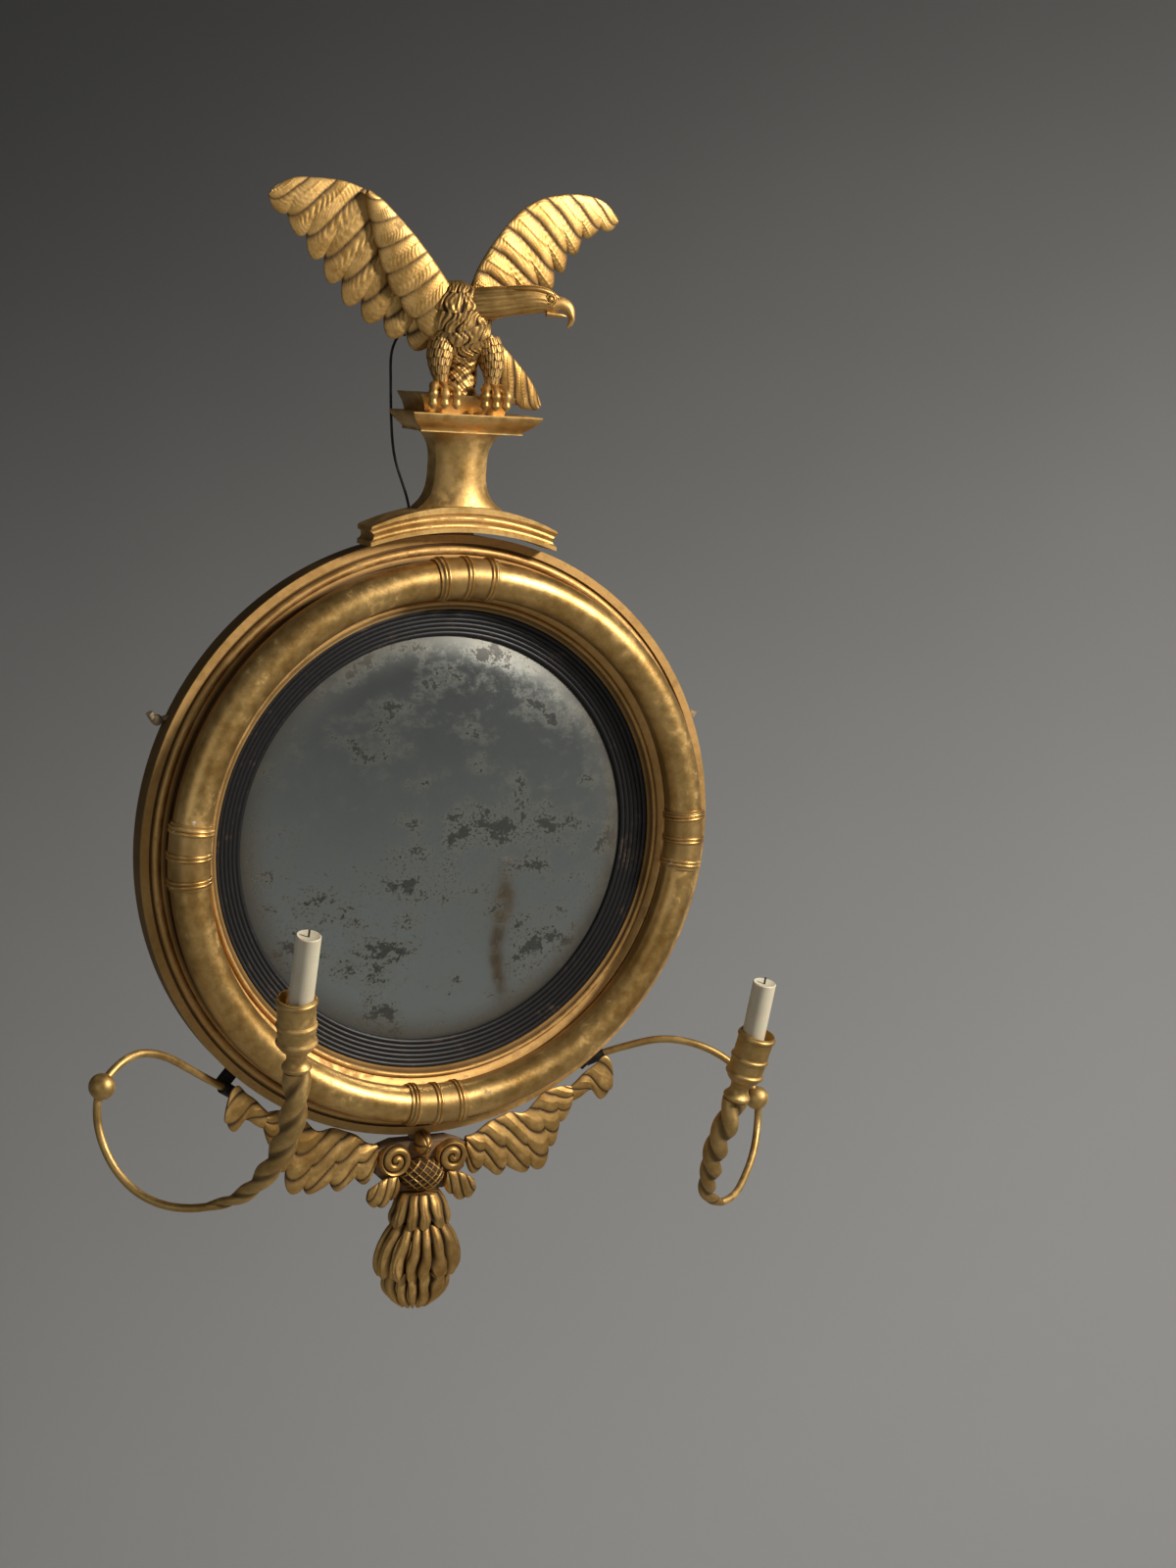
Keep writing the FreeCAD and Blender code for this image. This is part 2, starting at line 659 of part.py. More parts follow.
def collars():
    """Ribbed collars on the large moulding at twelve, three, six and nine o'clock."""
    middle = -(get("platform_height") + get("tube_seat"))
    ring = get("tube_ring_radius")
    facing = FreeCAD.Rotation(Vector(0, 0, 1), Vector(0, -1, 0))
    sleeve = doc.addObject("Part::Torus", "collar_sleeve")
    sleeve.setExpression("Radius1", "dims.tube_ring_radius")
    sleeve.setExpression("Radius2", "dims.tube_radius + dims.fit_clearance + dims.collar_wall")
    sleeve.setExpression("Angle3", "dims.collar_spread")
    spin = FreeCAD.Rotation(Vector(0, 1, 0), -90 + get("collar_spread") / 2)
    sleeve.Placement = FreeCAD.Placement(Vector(0, middle, 0), spin.multiply(facing))
    parts = [sleeve]
    for rib in (-1, 0, 1):
        for bead in (-0.5, 0.5):
            angle = rib * get("rib_step") + bead * get("rib_pair_step")
            turn = FreeCAD.Rotation(Vector(0, 1, 0), angle)
            hoop = doc.addObject("Part::Torus", "collar_rib")
            hoop.setExpression("Radius1", "dims.tube_radius + dims.fit_clearance + dims.rib_radius * 0.9")
            hoop.setExpression("Radius2", "dims.rib_radius")
            across = FreeCAD.Rotation(Vector(0, 0, 1), Vector(1, 0, 0))
            place = turn.multVec(Vector(0, middle, ring))
            hoop.Placement = FreeCAD.Placement(place, turn.multiply(across))
            parts.append(hoop)
    solid = doc.addObject("Part::MultiFuse", "collar_solid")
    solid.Shapes = parts
    core = doc.addObject("Part::Torus", "collar_core")
    core.setExpression("Radius1", "dims.tube_ring_radius")
    core.setExpression("Radius2", "dims.tube_radius + dims.fit_clearance")
    core.Placement = FreeCAD.Placement(Vector(0, middle, 0), facing)
    hollow = doc.addObject("Part::Cut", "collar_hollow")
    hollow.Base = solid
    hollow.Tool = core
    behind = doc.addObject("Part::Box", "collar_back")
    behind.Length = 200
    behind.Width = 40
    behind.Height = 120
    behind.setExpression(".Placement.Base.x", "-100")
    behind.setExpression(".Placement.Base.y", "-dims.platform_height")
    behind.setExpression(".Placement.Base.z", "dims.tube_ring_radius - 60")
    inside = doc.addObject("Part::Cylinder", "collar_inside")
    inside.setExpression("Radius", "dims.inner_outer_radius + dims.fit_clearance")
    inside.setExpression("Height", "dims.inner_seat + dims.inner_height + dims.fit_clearance")
    inside.Placement = FreeCAD.Placement(Vector(0, 0, 0), facing)
    seats = doc.addObject("Part::Compound", "collar_seats")
    seats.Links = [behind, inside]
    top = doc.addObject("Part::Cut", "collar_top")
    top.Label = "collar_top"
    top.Base = hollow
    top.Tool = seats
    for helper in parts + [solid, core, hollow, behind, inside, seats]:
        helper.Visibility = False
    nodes.append(top)
    doc.recompute()
    for label, angle in (("collar_right", 90), ("collar_bottom", 180), ("collar_left", 270)):
        copy = shaped(label, top.Shape.copy())
        copy.Placement = FreeCAD.Placement(Vector(0, 0, 0), FreeCAD.Rotation(Vector(0, 1, 0), angle))


# ---------------------------------------------------------------- plinth

BASE_ARC = "(dims.rim_radius + dims.base_gap)"
BASE_END = "sqrt(%s ^ 2 - dims.base_half_width ^ 2)" % BASE_ARC
BASE_TOP = "(%s + dims.base_height)" % BASE_ARC
BASE_RISE = "(%s - (%s) - dims.base_end_height)" % (BASE_TOP, BASE_END)
CROWN_ARC = "((dims.base_half_width ^ 2 + %s ^ 2) / (2 * %s))" % (BASE_RISE, BASE_RISE)


def tongue(label, half_width, low, high):
    """Flat wooden tongue in mortises of the frame and of what it carries."""
    bar = doc.addObject("Part::Box", label)
    bar.Label = label
    bar.setExpression("Length", "2 * dims.%s" % half_width)
    bar.setExpression("Width", "dims.tongue_thickness")
    bar.setExpression("Height", "(%s) - (%s)" % (high, low))
    bar.setExpression(".Placement.Base.x", "-dims.%s" % half_width)
    bar.setExpression(".Placement.Base.y", "-dims.tongue_middle - dims.tongue_thickness / 2")
    bar.setExpression(".Placement.Base.z", low)
    nodes.append(bar)


def tongues():
    tongue("plinth_tongue", "tongue_half_width", "dims.rim_radius - dims.tongue_depth",
           "%s + dims.tongue_depth" % BASE_ARC)
    tongue("apron_tongue", "apron_tongue_half_width",
           "-dims.rim_radius - dims.apron_gap - dims.tongue_depth",
           "-dims.rim_radius + dims.tongue_depth")


def plinth_base():
    """Arched base that follows the frame, coved along its front and ends."""
    body = new_body("plinth_base")
    sketch = new_sketch(body, "XZ_Plane", "dims.base_back")
    draw_outline(sketch, [
        ("-dims.base_half_width", BASE_END),
        ("0", BASE_ARC, BASE_ARC),
        ("dims.base_half_width", BASE_END, BASE_ARC),
        ("dims.base_half_width", "%s + dims.base_end_height" % BASE_END),
        ("-dims.base_half_width", "%s + dims.base_end_height" % BASE_END, "-" + CROWN_ARC),
    ])
    padded(body, sketch, "dims.base_front - dims.base_back")
    for height, end_height in ((7.5, 7.2), (14.6, 12.8)):
        rise = "(%s + %g - (%s) - %g)" % (BASE_ARC, height, BASE_END, end_height)
        arc = "((dims.base_half_width ^ 2 + %s ^ 2) / (2 * %s))" % (rise, rise)
        middle = "%s + %g - %s" % (BASE_ARC, height, arc)
        cove = new_sketch(body, "XY_Plane", middle)
        draw_circle(cove, arc, "-dims.base_front - 1", "dims.cove_radius + 0.4")
        groove = body.newObject("PartDesign::Groove", "Cove")
        groove.Profile = cove
        groove.ReferenceAxis = (cove, ["V_Axis"])
        groove.Angle = 360
        cove.Visibility = False
    ends = new_sketch(body, "XZ_Plane", "(dims.base_front + dims.base_back) / 2")
    for sign in ("-", ""):
        draw_circle(ends, "%s(dims.base_half_width + 1)" % sign,
                    "%s + dims.base_end_height / 2" % BASE_END, "dims.end_cove_radius")
    notch = body.newObject("PartDesign::Pocket", "EndCoves")
    notch.Profile = ends
    notch.SideType = "Symmetric"
    notch.setExpression("Length", "dims.base_front * 2")
    slot = new_sketch(body, "XZ_Plane", "dims.tongue_middle")
    draw_outline(slot, [
        ("-dims.tongue_half_width - dims.mortise_clearance", "%s - 9" % BASE_ARC),
        ("dims.tongue_half_width + dims.mortise_clearance", "%s - 9" % BASE_ARC),
        ("dims.tongue_half_width + dims.mortise_clearance",
         "%s + dims.tongue_depth + dims.mortise_clearance" % BASE_ARC),
        ("-dims.tongue_half_width - dims.mortise_clearance",
         "%s + dims.tongue_depth + dims.mortise_clearance" % BASE_ARC),
    ])
    cut = body.newObject("PartDesign::Pocket", "Mortise")
    cut.Profile = slot
    cut.SideType = "Symmetric"
    cut.setExpression("Length", "dims.tongue_thickness + 2 * dims.mortise_clearance")


def plinth_shaft():
    """Waisted shaft with a flat back and a bowed front, its foot cut to the arched base."""
    levels = []
    table = [
        # height, extra half width, extra front, backward shift
        ("%s - 9" % BASE_TOP, 21.5, 4.5, 6.5),
        ("%s - 2" % BASE_TOP, 15.5, 4, 5.2),
        ("%s + 5" % BASE_TOP, 7.8, 2.4, 2.8),
        ("%s + 16" % BASE_TOP, 2, 0.6, 0.6),
        ("%s + 36" % BASE_TOP, 0, 0, 0),
        ("%s + 54" % BASE_TOP, 1.8, 0.8, 0.3),
        ("%s + 63" % BASE_TOP, 5.8, 3.8, -0.8),
        ("%s + dims.shaft_height" % BASE_TOP, 12, 8.5, -2),
    ]
    for height, wider, deeper, shift in table:
        half = "(dims.shaft_half_width + %g)" % wider
        back = "-(dims.shaft_back + %g)" % shift
        shoulder = "-(dims.shaft_front + %g - 15)" % deeper
        front = "-(dims.shaft_front + %g)" % deeper
        bow = "((%s ^ 2 + 15 ^ 2) / 30)" % half
        levels.append((height, [
            ("-" + half, back),
            ("-" + half, shoulder),
            ("0", front, "-" + bow),
            (half, shoulder, "-" + bow),
            (half, back),
        ]))
    body = lofted_levels("plinth_shaft", levels)
    foot = new_sketch(body, "XZ_Plane", "0")
    wide = "(dims.base_half_width * 0.8)"
    low = "%s - 40" % BASE_TOP
    arc = "(%s + dims.fit_clearance)" % CROWN_ARC
    side = "%s + dims.fit_clearance - %s + sqrt(%s ^ 2 - %s ^ 2)" % (BASE_TOP, arc, arc, wide)
    draw_outline(foot, [
        ("-" + wide, low),
        (wide, low),
        (wide, side),
        ("0", "%s + dims.fit_clearance" % BASE_TOP, "-" + arc),
        ("-" + wide, side, "-" + arc),
    ])
    trim = body.newObject("PartDesign::Pocket", "Foot")
    trim.Profile = foot
    trim.SideType = "Symmetric"
    trim.setExpression("Length", "dims.base_front * 4")


CAP_LOW = "(%s + dims.shaft_height)" % BASE_TOP
CAP_TOP = "(%s + dims.cap_height)" % CAP_LOW
SLAB_TOP = "(%s + dims.slab_height)" % CAP_TOP


def flared_block(label, low, height, middle, half_width, front, back, flare, curve):
    """Rectangular block whose sides flare upward along a curve; the back stays flat."""
    levels = []
    for share, narrower in curve:
        inset = "dims.%s * %g" % (flare, narrower)
        left = "%s - dims.%s + %s" % (middle, half_width, inset)
        right = "%s + dims.%s - %s" % (middle, half_width, inset)
        ahead = "-dims.%s + %s" % (front, inset)
        behind = "-dims.%s" % back
        level = "%s + dims.%s * %g" % (low, height, share)
        levels.append((level, [(left, behind), (left, ahead), (right, ahead), (right, behind)]))
    lofted_levels(label, levels)


def plinth_cap_and_slab():
    flared_block("plinth_cap", CAP_LOW, "cap_height", "0", "cap_half_width", "cap_front",
                 "cap_back", "cap_flare",
                 [(0, 1), (0.12, 0.98), (0.34, 0.66), (0.62, 0.26), (0.86, 0.03), (1, 0)])
    flared_block("eagle_slab", CAP_TOP, "slab_height", "dims.slab_shift", "slab_half_width",
                 "slab_front", "cap_back", "slab_flare",
                 [(0, 1), (0.25, 0.86), (0.55, 0.56), (0.85, 0.14), (1, 0)])


# ---------------------------------------------------------------- eagle
# The eagle's points are (x, y, height over the slab's top).


def on_slab(points):
    top = size(SLAB_TOP)
    return [Vector(x, y, z + top) for x, y, z in points]


def oval_stations(rows):
    """Rows of (x, y, height, half width, half height) as stations over the slab."""
    top = size(SLAB_TOP)
    return [(Vector(x, y, z + top), across, over) for x, y, z, across, over in rows]


def eagle_trunk():
    """Breast and belly, and the rough rock between the legs."""
    trunk = limb(oval_stations([
        (-13, -38, 0.2, 17, 15), (-13, -38, 8, 18, 15.5), (-12, -38, 20, 17, 14), (-12, -39, 31, 19, 15),
        (-14, -42, 44, 26, 19), (-17, -46, 60, 31, 23), (-20, -48, 76, 31, 24), (-20, -47, 90, 26, 21),
        (-19, -45, 99, 17, 14), (-18, -44, 103.5, 7, 6),
    ]), Vector(0, -1, 0), lobes=10, relief=0.025)
    return trunk


def eagle_neck_and_head():
    """Neck stretched forward and to the side, crest, and a hooked beak."""
    neck = limb(oval_stations([
        (-12, -56, 84, 13, 15), (0, -64, 86, 13, 15), (12, -70, 88, 12, 14.5), (24, -75, 90, 11, 13.5),
        (34, -79, 91.5, 11, 13.5), (44, -82, 92, 10.5, 12.5), (53, -85, 90.5, 8.5, 10),
        (59, -87, 88, 6, 8), (63, -88, 86, 4.4, 6.4),
    ]), Vector(0, 0, 1), lobes=12, relief=0.02)
    beak = limb(oval_stations([
        (58, -86.7, 89, 5.5, 7.5), (65, -89, 89, 4.6, 7), (71, -91, 86, 4, 6), (74.5, -92, 80, 3.2, 4.6),
        (74.5, -92, 74, 2.4, 3.2), (72, -91.4, 69, 1.2, 1.4),
    ]), Vector(0, 0.3, 1))
    brow = limb(oval_stations([
        (16, -74, 101, 3, 2), (28, -79, 102, 7.5, 3), (42, -84, 102, 8.5, 3.4), (54, -88, 99, 6, 3),
        (62, -90, 95, 3, 1.6),
    ]), Vector(0, 0, 1))
    return neck.fuse(beak).fuse(brow)


LEFT_LEADING = [(-31, -47, 98), (-44, -46, 114), (-58, -45, 131), (-73, -44, 147), (-89, -42, 163),
                (-105, -40, 175), (-121, -37, 182.5), (-139, -35, 186.5), (-160, -33, 186.8),
                (-184, -31, 184.5), (-199, -30, 176)]
LEFT_TRAILING = [(-46, -38, 34), (-62, -37, 40), (-82, -36, 48), (-101, -35, 58), (-121, -34, 70),
                 (-139, -33, 88), (-157, -32, 110), (-174, -31, 131), (-190, -30, 149),
                 (-200, -29, 158), (-205.5, -29, 167)]
RIGHT_LEADING = [(-8, -44, 99), (-2, -43, 115), (8, -42, 133), (21, -41, 151), (36, -39, 168),
                 (53, -37, 181), (74, -35, 189.5), (97, -33, 193.5), (120, -31, 193), (137, -30, 187),
                 (149, -29, 175)]
RIGHT_TRAILING = [(14, -36, 66), (50, -36, 84), (77, -35, 99), (89, -34, 114), (98, -33, 129),
                  (108, -32, 141), (117, -31, 152), (127, -30, 158), (137, -29, 161), (145, -28, 164),
                  (150.5, -28, 169)]
SHOULDER_LEADING = [(-27, -54, 92), (-40, -54, 109), (-56, -53, 128), (-71, -52, 144), (-88, -50, 160),
                    (-103, -48, 173), (-115, -45, 180)]
SHOULDER_TRAILING = [(-48, -50, 48), (-64, -50, 62), (-82, -49, 82), (-96, -48, 104), (-105, -47, 128),
                     (-112, -46, 152), (-117, -45, 174)]


def wings():
    """Both wings and the nearer wing's layer of shoulder feathers."""
    thick = get("wing_thickness")
    rows = [thick * share for share in (1.6, 1.5, 1.35, 1.2, 1.1, 1, 0.9, 0.8, 0.7, 0.5, 0.3)]
    left = blade(on_slab(LEFT_LEADING), on_slab(LEFT_TRAILING), rows, 8, 0.16)
    right = blade(on_slab(RIGHT_LEADING), on_slab(RIGHT_TRAILING), rows, 8, 0.18)
    shoulder = blade(on_slab(SHOULDER_LEADING), on_slab(SHOULDER_TRAILING), rows[:7], 6, 0.08)
    return left, shoulder, right


def eagle_leg(side_x, toes):
    """Feathered thigh and three knuckled toes that bend over the slab's front edge."""
    lean = 1 if side_x < -13 else -1
    thigh = limb(oval_stations([
        (side_x + 4 * lean, -48, 52, 13, 12), (side_x, -51, 38, 13, 12),
        (side_x - 1 * lean, -54, 24, 10, 9.5), (side_x, -56, 12, 6.5, 6.5), (side_x, -57, 3.5, 5.5, 5.5),
    ]), Vector(0, -1, 0), lobes=8, relief=0.05, faceted=True)
    front = -get("slab_front")
    foot = []
    for toe_x in toes:
        spread = toe_x - side_x
        foot.append(limb(oval_stations([
            (side_x + spread * 0.35, -56.5, 7, 3.4, 3.4),
            (side_x + spread * 0.75, front + 0.5, 7.2, 4.9, 4.9),
            (side_x + spread * 0.92, front - 3.4, 5.2, 3.5, 3.5),
            (toe_x, front - 5.2, 1, 4.7, 4.7), (toe_x, front - 5.3, -4, 3.4, 3.4),
            (toe_x, front - 5.4, -9, 4, 4), (toe_x, front - 5.2, -12.6, 1.2, 1.2),
        ]), Vector(1, 0, 0), faceted=True))
    return thigh.fuse(foot)


TAIL = [(2, -24, 62, 10, 6), (16, -23, 50, 14, 6), (32, -22, 34, 17, 5.5), (48, -21, 18, 19, 5),
        (62, -20, 6, 18, 4.4), (74, -19, -4, 13, 3.4), (80, -18.5, -10, 7, 2)]


def cut_away(shape, *tools):
    for tool in tools:
        shape = shape.cut(tool)
    solids = sorted(shape.Solids, key=lambda solid: solid.Volume)
    return solids[-1]


def eagle():
    """Carved eagle; each glued-on piece is cut to the piece that it sits against."""
    trunk = eagle_trunk()
    head = cut_away(eagle_neck_and_head(), trunk)
    left, shoulder, right = wings()
    left = cut_away(left, trunk)
    shoulder = cut_away(shoulder, trunk, left)
    right = cut_away(right, trunk)
    tail = cut_away(limb(oval_stations(TAIL), Vector(0, -1, 0), lobes=10, relief=0.06), trunk)
    shaped("eagle_body", trunk)
    shaped("eagle_head", head)
    shaped("eagle_left_wing", left)
    shaped("eagle_left_shoulder", shoulder)
    shaped("eagle_right_wing", right)
    shaped("eagle_tail", tail)
    for label, side_x, toes in (("eagle_left_leg", -38, (-50, -38, -26)),
                                ("eagle_right_leg", 14, (3, 14, 25))):
        leg = cut_away(eagle_leg(side_x, toes), trunk, slab_block())
        shaped(label, leg)


def slab_block():
    """The slab's own space under its top, up to its front edge."""
    low = Vector(-150, -get("slab_front"), size(SLAB_TOP) - get("slab_height"))
    return box_shape(low, Vector(150, 0, size(SLAB_TOP)))


STAY_ROUTE = [(-66, -19, 52), (-67, -10, 44), (-66.6, -2.2, 32), (-65.9, -1.7, 14), (-64.5, -1.7, -8),
              (-62.1, -1.7, -36), (-56.6, -2, -66), (-46, -5.4, -96), (-42, -7.8, -113)]


def stay():
    """Bent iron stay behind the plinth, with a screw eye at each end."""
    route = on_slab(STAY_ROUTE)
    shaped("stay_wire", rod_shape(route, get("stay_radius")))
    eyes = []
    reach = get("eye_radius") + 2 * get("eye_wire")
    for end, inward, depth in ((route[0], Vector(0, -1, 0), 7.8), (route[-1], Vector(0, -1, 0), 1.1)):
        ring = doc.addObject("Part::Torus", "eye_ring")
        ring.setExpression("Radius1", "dims.eye_radius")
        ring.setExpression("Radius2", "dims.eye_wire")
        ring.Placement = FreeCAD.Placement(end, FreeCAD.Rotation())
        shank = doc.addObject("Part::Cylinder", "eye_shank")
        shank.setExpression("Radius", "dims.eye_wire")
        shank.Height = depth
        foot = end + inward * (reach - 1.6)
        shank.Placement = FreeCAD.Placement(foot, FreeCAD.Rotation(Vector(0, 0, 1), inward))
        eye = doc.addObject("Part::Fuse", "stay_eye")
        eye.Base = ring
        eye.Tool = shank
        for helper in (ring, shank, eye):
            helper.Visibility = False
        eyes.append(eye)
    group = doc.addObject("Part::Compound", "stay_eyes")
    group.Label = "stay_eyes"
    group.Links = eyes
    nodes.append(group)


# ---------------------------------------------------------------- apron
# The apron's points are (x, y, height under the frame's lowest point).


def under_frame(points, side=1):
    low = -get("rim_radius")
    return [Vector(side * x, y, z + low) for x, y, z in points]


def apron_block():
    """Shaped block behind the carvings, mortised for the tongue."""
    body = new_body("apron_block")
    sketch = new_sketch(body, "XZ_Plane", "dims.apron_back")
    top = "-dims.rim_radius - dims.apron_gap"
    low = "%s - dims.apron_block_height" % top
    draw_outline(sketch, [
        ("-dims.block_half_width + 22", low),
        ("dims.block_half_width - 22", low),
        ("dims.block_half_width", "%s + 20" % low),
        ("dims.block_half_width", "%s - 7" % top),
        ("dims.block_half_width - 18", "%s - 1" % top),
        ("-dims.block_half_width + 18", "%s - 1" % top),
        ("-dims.block_half_width", "%s - 7" % top),
        ("-dims.block_half_width", "%s + 20" % low),
    ])
    padded(body, sketch, "dims.apron_front - dims.apron_back")
    slot = new_sketch(body, "XZ_Plane", "dims.tongue_middle")
    deep = "%s - dims.tongue_depth - dims.mortise_clearance" % top
    wide = "dims.apron_tongue_half_width + dims.mortise_clearance"
    draw_outline(slot, [("-(%s)" % wide, deep), (wide, deep), (wide, "%s + 6" % top),
                        ("-(%s)" % wide, "%s + 6" % top)])
    cut = body.newObject("PartDesign::Pocket", "Mortise")
    cut.Profile = slot
    cut.SideType = "Symmetric"
    cut.setExpression("Length", "dims.tongue_thickness + 2 * dims.mortise_clearance")


def volute(label, sign):
    """Turned roll with a hollow and a button, on the block's front."""
    body = turned(label, [
        ("0", "0"),
        ("dims.volute_radius - 1", "0"),
        ("dims.volute_radius", "-dims.volute_height * 0.45"),
        ("dims.volute_radius - 2.5", "-dims.volute_height", "3.6"),
        ("dims.volute_radius - 5.5", "-dims.volute_height * 0.6", "4"),
        ("dims.volute_radius - 6.5", "-dims.volute_height * 0.6"),
        ("dims.volute_radius - 7.8", "-dims.volute_height * 0.9", "2.5"),
        ("dims.volute_radius - 13.4", "-dims.volute_height * 1.2", "12"),
        ("0", "-dims.volute_height * 1.2"),
    ])
    body.setExpression(".Placement.Base.x", "%sdims.volute_spread" % sign)
    body.setExpression(".Placement.Base.y", "-dims.apron_front")
    body.setExpression(".Placement.Base.z", "-dims.rim_radius - dims.volute_drop")


def half_oval(label, drop, half_width, half_height, depth, tools=()):
    """Half of an ellipsoid, flat at the block's front."""
    oval = doc.addObject("Part::Ellipsoid", label + "_oval")
    oval.setExpression("Radius1", "dims.%s" % half_height)
    oval.setExpression("Radius2", "dims.%s" % half_width)
    oval.setExpression("Radius3", "dims.%s" % depth)
    oval.setExpression(".Placement.Base.y", "-dims.apron_front")
    oval.setExpression(".Placement.Base.z", "-dims.rim_radius - dims.%s" % drop)
    behind = doc.addObject("Part::Box", label + "_back")
    behind.Length = 120
    behind.Height = 120
    behind.setExpression("Width", "dims.%s + 10" % depth)
    behind.setExpression(".Placement.Base.x", "-60")
    behind.setExpression(".Placement.Base.y", "-dims.apron_front - dims.glue_gap")
    behind.setExpression(".Placement.Base.z", "-dims.rim_radius - dims.%s - 60" % drop)
    cutters = doc.addObject("Part::Compound", label + "_cutters")
    cutters.Links = [behind] + list(tools)
    half = doc.addObject("Part::Cut", label)
    half.Label = label
    half.Base = oval
    half.Tool = cutters
    for helper in (oval, behind, cutters):
        helper.Visibility = False
    nodes.append(half)


def volute_spaces():
    """The volutes' own places, cut out of the boss and bud between them."""
    spaces = []
    for sign in ("-", ""):
        space = doc.addObject("Part::Cylinder", "volute_space")
        space.setExpression("Radius", "dims.volute_radius + dims.fit_clearance")
        space.Height = 80
        space.Placement = FreeCAD.Placement(Vector(0, 0, 0), FreeCAD.Rotation(Vector(0, 0, 1), Vector(0, -1, 0)))
        space.setExpression(".Placement.Base.x", "%sdims.volute_spread" % sign)
        space.setExpression(".Placement.Base.z", "-dims.rim_radius - dims.volute_drop")
        space.Visibility = False
        spaces.append(space)
    return spaces


LEAF_UPPER = [(48.6, -27, -6), (58, -27, -4), (70, -27, 5), (84, -27, 11), (98, -27, 15),
              (111, -27, 13), (122, -27, 22), (134, -27, 33), (146, -27, 37), (156, -27, 38),
              (164, -27, 37)]
LEAF_LOWER = [(48.6, -26, -33), (60, -26, -48), (74, -26, -47), (90, -26, -53), (106, -26, -50),
              (126, -26, -55), (143, -26, -42), (150, -26, -24), (156, -26, -8), (163, -26, 6),
              (169, -26, 19)]
TIP_UPPER = [(164, -27, 37), (171, -28, 44), (180, -29, 53), (190, -31, 61), (198, -32, 68),
             (204, -33, 64), (207, -33, 54)]
TIP_LOWER = [(169, -26, 19), (177, -27, 25), (187, -28, 30), (197, -29, 21), (208, -31, 27),
             (210, -32, 37), (208, -33, 49)]
SMALL_UPPER = [(27, -33, -38), (38, -34, -40), (48, -35, -44), (57, -34, -50)]
SMALL_LOWER = [(24, -33, -56), (36, -34, -68), (48, -35, -71), (60, -34, -63)]


def apron_carvings():
    """Acanthus leaves, tip leaves and small leaves on both sides."""
    for word, side in (("left", -1), ("right", 1)):
        leaf = blade(under_frame(LEAF_UPPER, side), under_frame(LEAF_LOWER, side),
                     [13, 14, 14, 13, 12, 12, 11, 10, 9, 8, 8], 6, 0.16, relief=0.2, ribs=3)
        shaped("apron_%s_leaf" % word, leaf)
        tip = blade(under_frame(TIP_UPPER, side), under_frame(TIP_LOWER, side),
                    [8, 8.5, 8.5, 8, 7, 5, 3], 3, 0.1, relief=0.2, ribs=2)
        shaped("apron_%s_tip_leaf" % word, tip)
        small = blade(under_frame(SMALL_UPPER, side), under_frame(SMALL_LOWER, side),
                      [10, 11, 10, 6], 3, 0.12, relief=0.2, ribs=2)
        block_space = box_shape(Vector(-100, -get("apron_front"), -get("rim_radius") - 100),
                                Vector(100, 0, -get("rim_radius")))
        roll = Vector(side * get("volute_spread"), 0, -get("rim_radius") - get("volute_drop"))
        roll_space = Part.makeCylinder(get("volute_radius") + get("fit_clearance"), 80, roll, Vector(0, -1, 0))
        shaped("apron_%s_small_leaf" % word, cut_away(small, block_space, roll_space))


def drop_stations(rows):
    low = -get("rim_radius") - get("apron_gap") - get("apron_block_height")
    return [(Vector(0, y, low + z), across, over) for y, z, across, over in rows]


def apron_drop():
    """Ruffled necking and the two tiers of the leafy drop beneath it."""
    ahead = Vector(0, -1, 0)
    shaped("apron_necking", limb(drop_stations([
        (-29, -0.2, 21, 17), (-31, -8, 27, 20), (-32, -16, 30, 22), (-32, -24, 33, 24),
        (-32, -34, 30, 22)]), ahead, lobes=9, relief=0.05))
    shaped("apron_upper_tassel", limb(drop_stations([
        (-32, -34.1, 30, 22), (-32, -44, 38, 26), (-32, -56, 44, 28), (-32, -68, 47, 28),
        (-32, -80, 45, 27), (-32, -84, 42, 25)]), ahead, lobes=14, relief=0.045))
    shaped("apron_lower_tassel", limb(drop_stations([
        (-31, -84.1, 36, 22), (-31, -94, 37, 22), (-31, -104, 34, 20), (-31, -114, 24, 15),
        (-31, -122, 10, 7)]), ahead, lobes=11, relief=0.05))


# ---------------------------------------------------------------- candle arms
# Arm points are (x, y, z) from the frame's centre; the wrought arms were bent by hand.

ROD_LEFT = [(193.5, -8.5, -247.1), (204.3, -12, -240), (230.7, -24.5, -222.7),
            (257, -39.4, -204.4), (283.8, -55.2, -188.3), (310.5, -68.6, -182),
            (332.8, -81.4, -188.5), (348.6, -91.2, -202.6), (352, -91.5, -232.3),
            (346.5, -99.7, -259.1), (334.9, -113.5, -281.6), (317.5, -130.9, -296.9),
            (295.5, -150.4, -302.1), (269.6, -163.5, -300)]
ROD_RIGHT = [(192.5, -8.5, -241.5), (204.3, -12, -235.9), (230.7, -24.5, -224.9),
             (257, -39.4, -216.2), (283.8, -55.2, -216.8), (310.5, -68.6, -226.9),
             (332.8, -81.4, -244.8), (348.6, -91.2, -270.8), (352, -91.5, -293),
             (346.5, -99.7, -311.2), (334.9, -113.5, -326.7), (317.5, -130.9, -339.4),
             (295.5, -150.4, -349.2), (271.6, -163, -351.6)]
TWIST_LEFT = [(269.6, -163.5, -300), (247.8, -178.5, -289.1), (233.7, -200, -266.6),
              (225.1, -220.2, -238.5), (221.5, -236.4, -207.9), (221.6, -248.3, -177.2),
              (223.8, -253.5, -148.1)]
TWIST_RIGHT = [(271.6, -163, -351.6), (247.8, -176.8, -337), (233.7, -200, -308),
               (225.1, -220.2, -278), (221.5, -236.4, -252), (221.6, -248.3, -230.6),
               (223.8, -253.5, -211.6)]
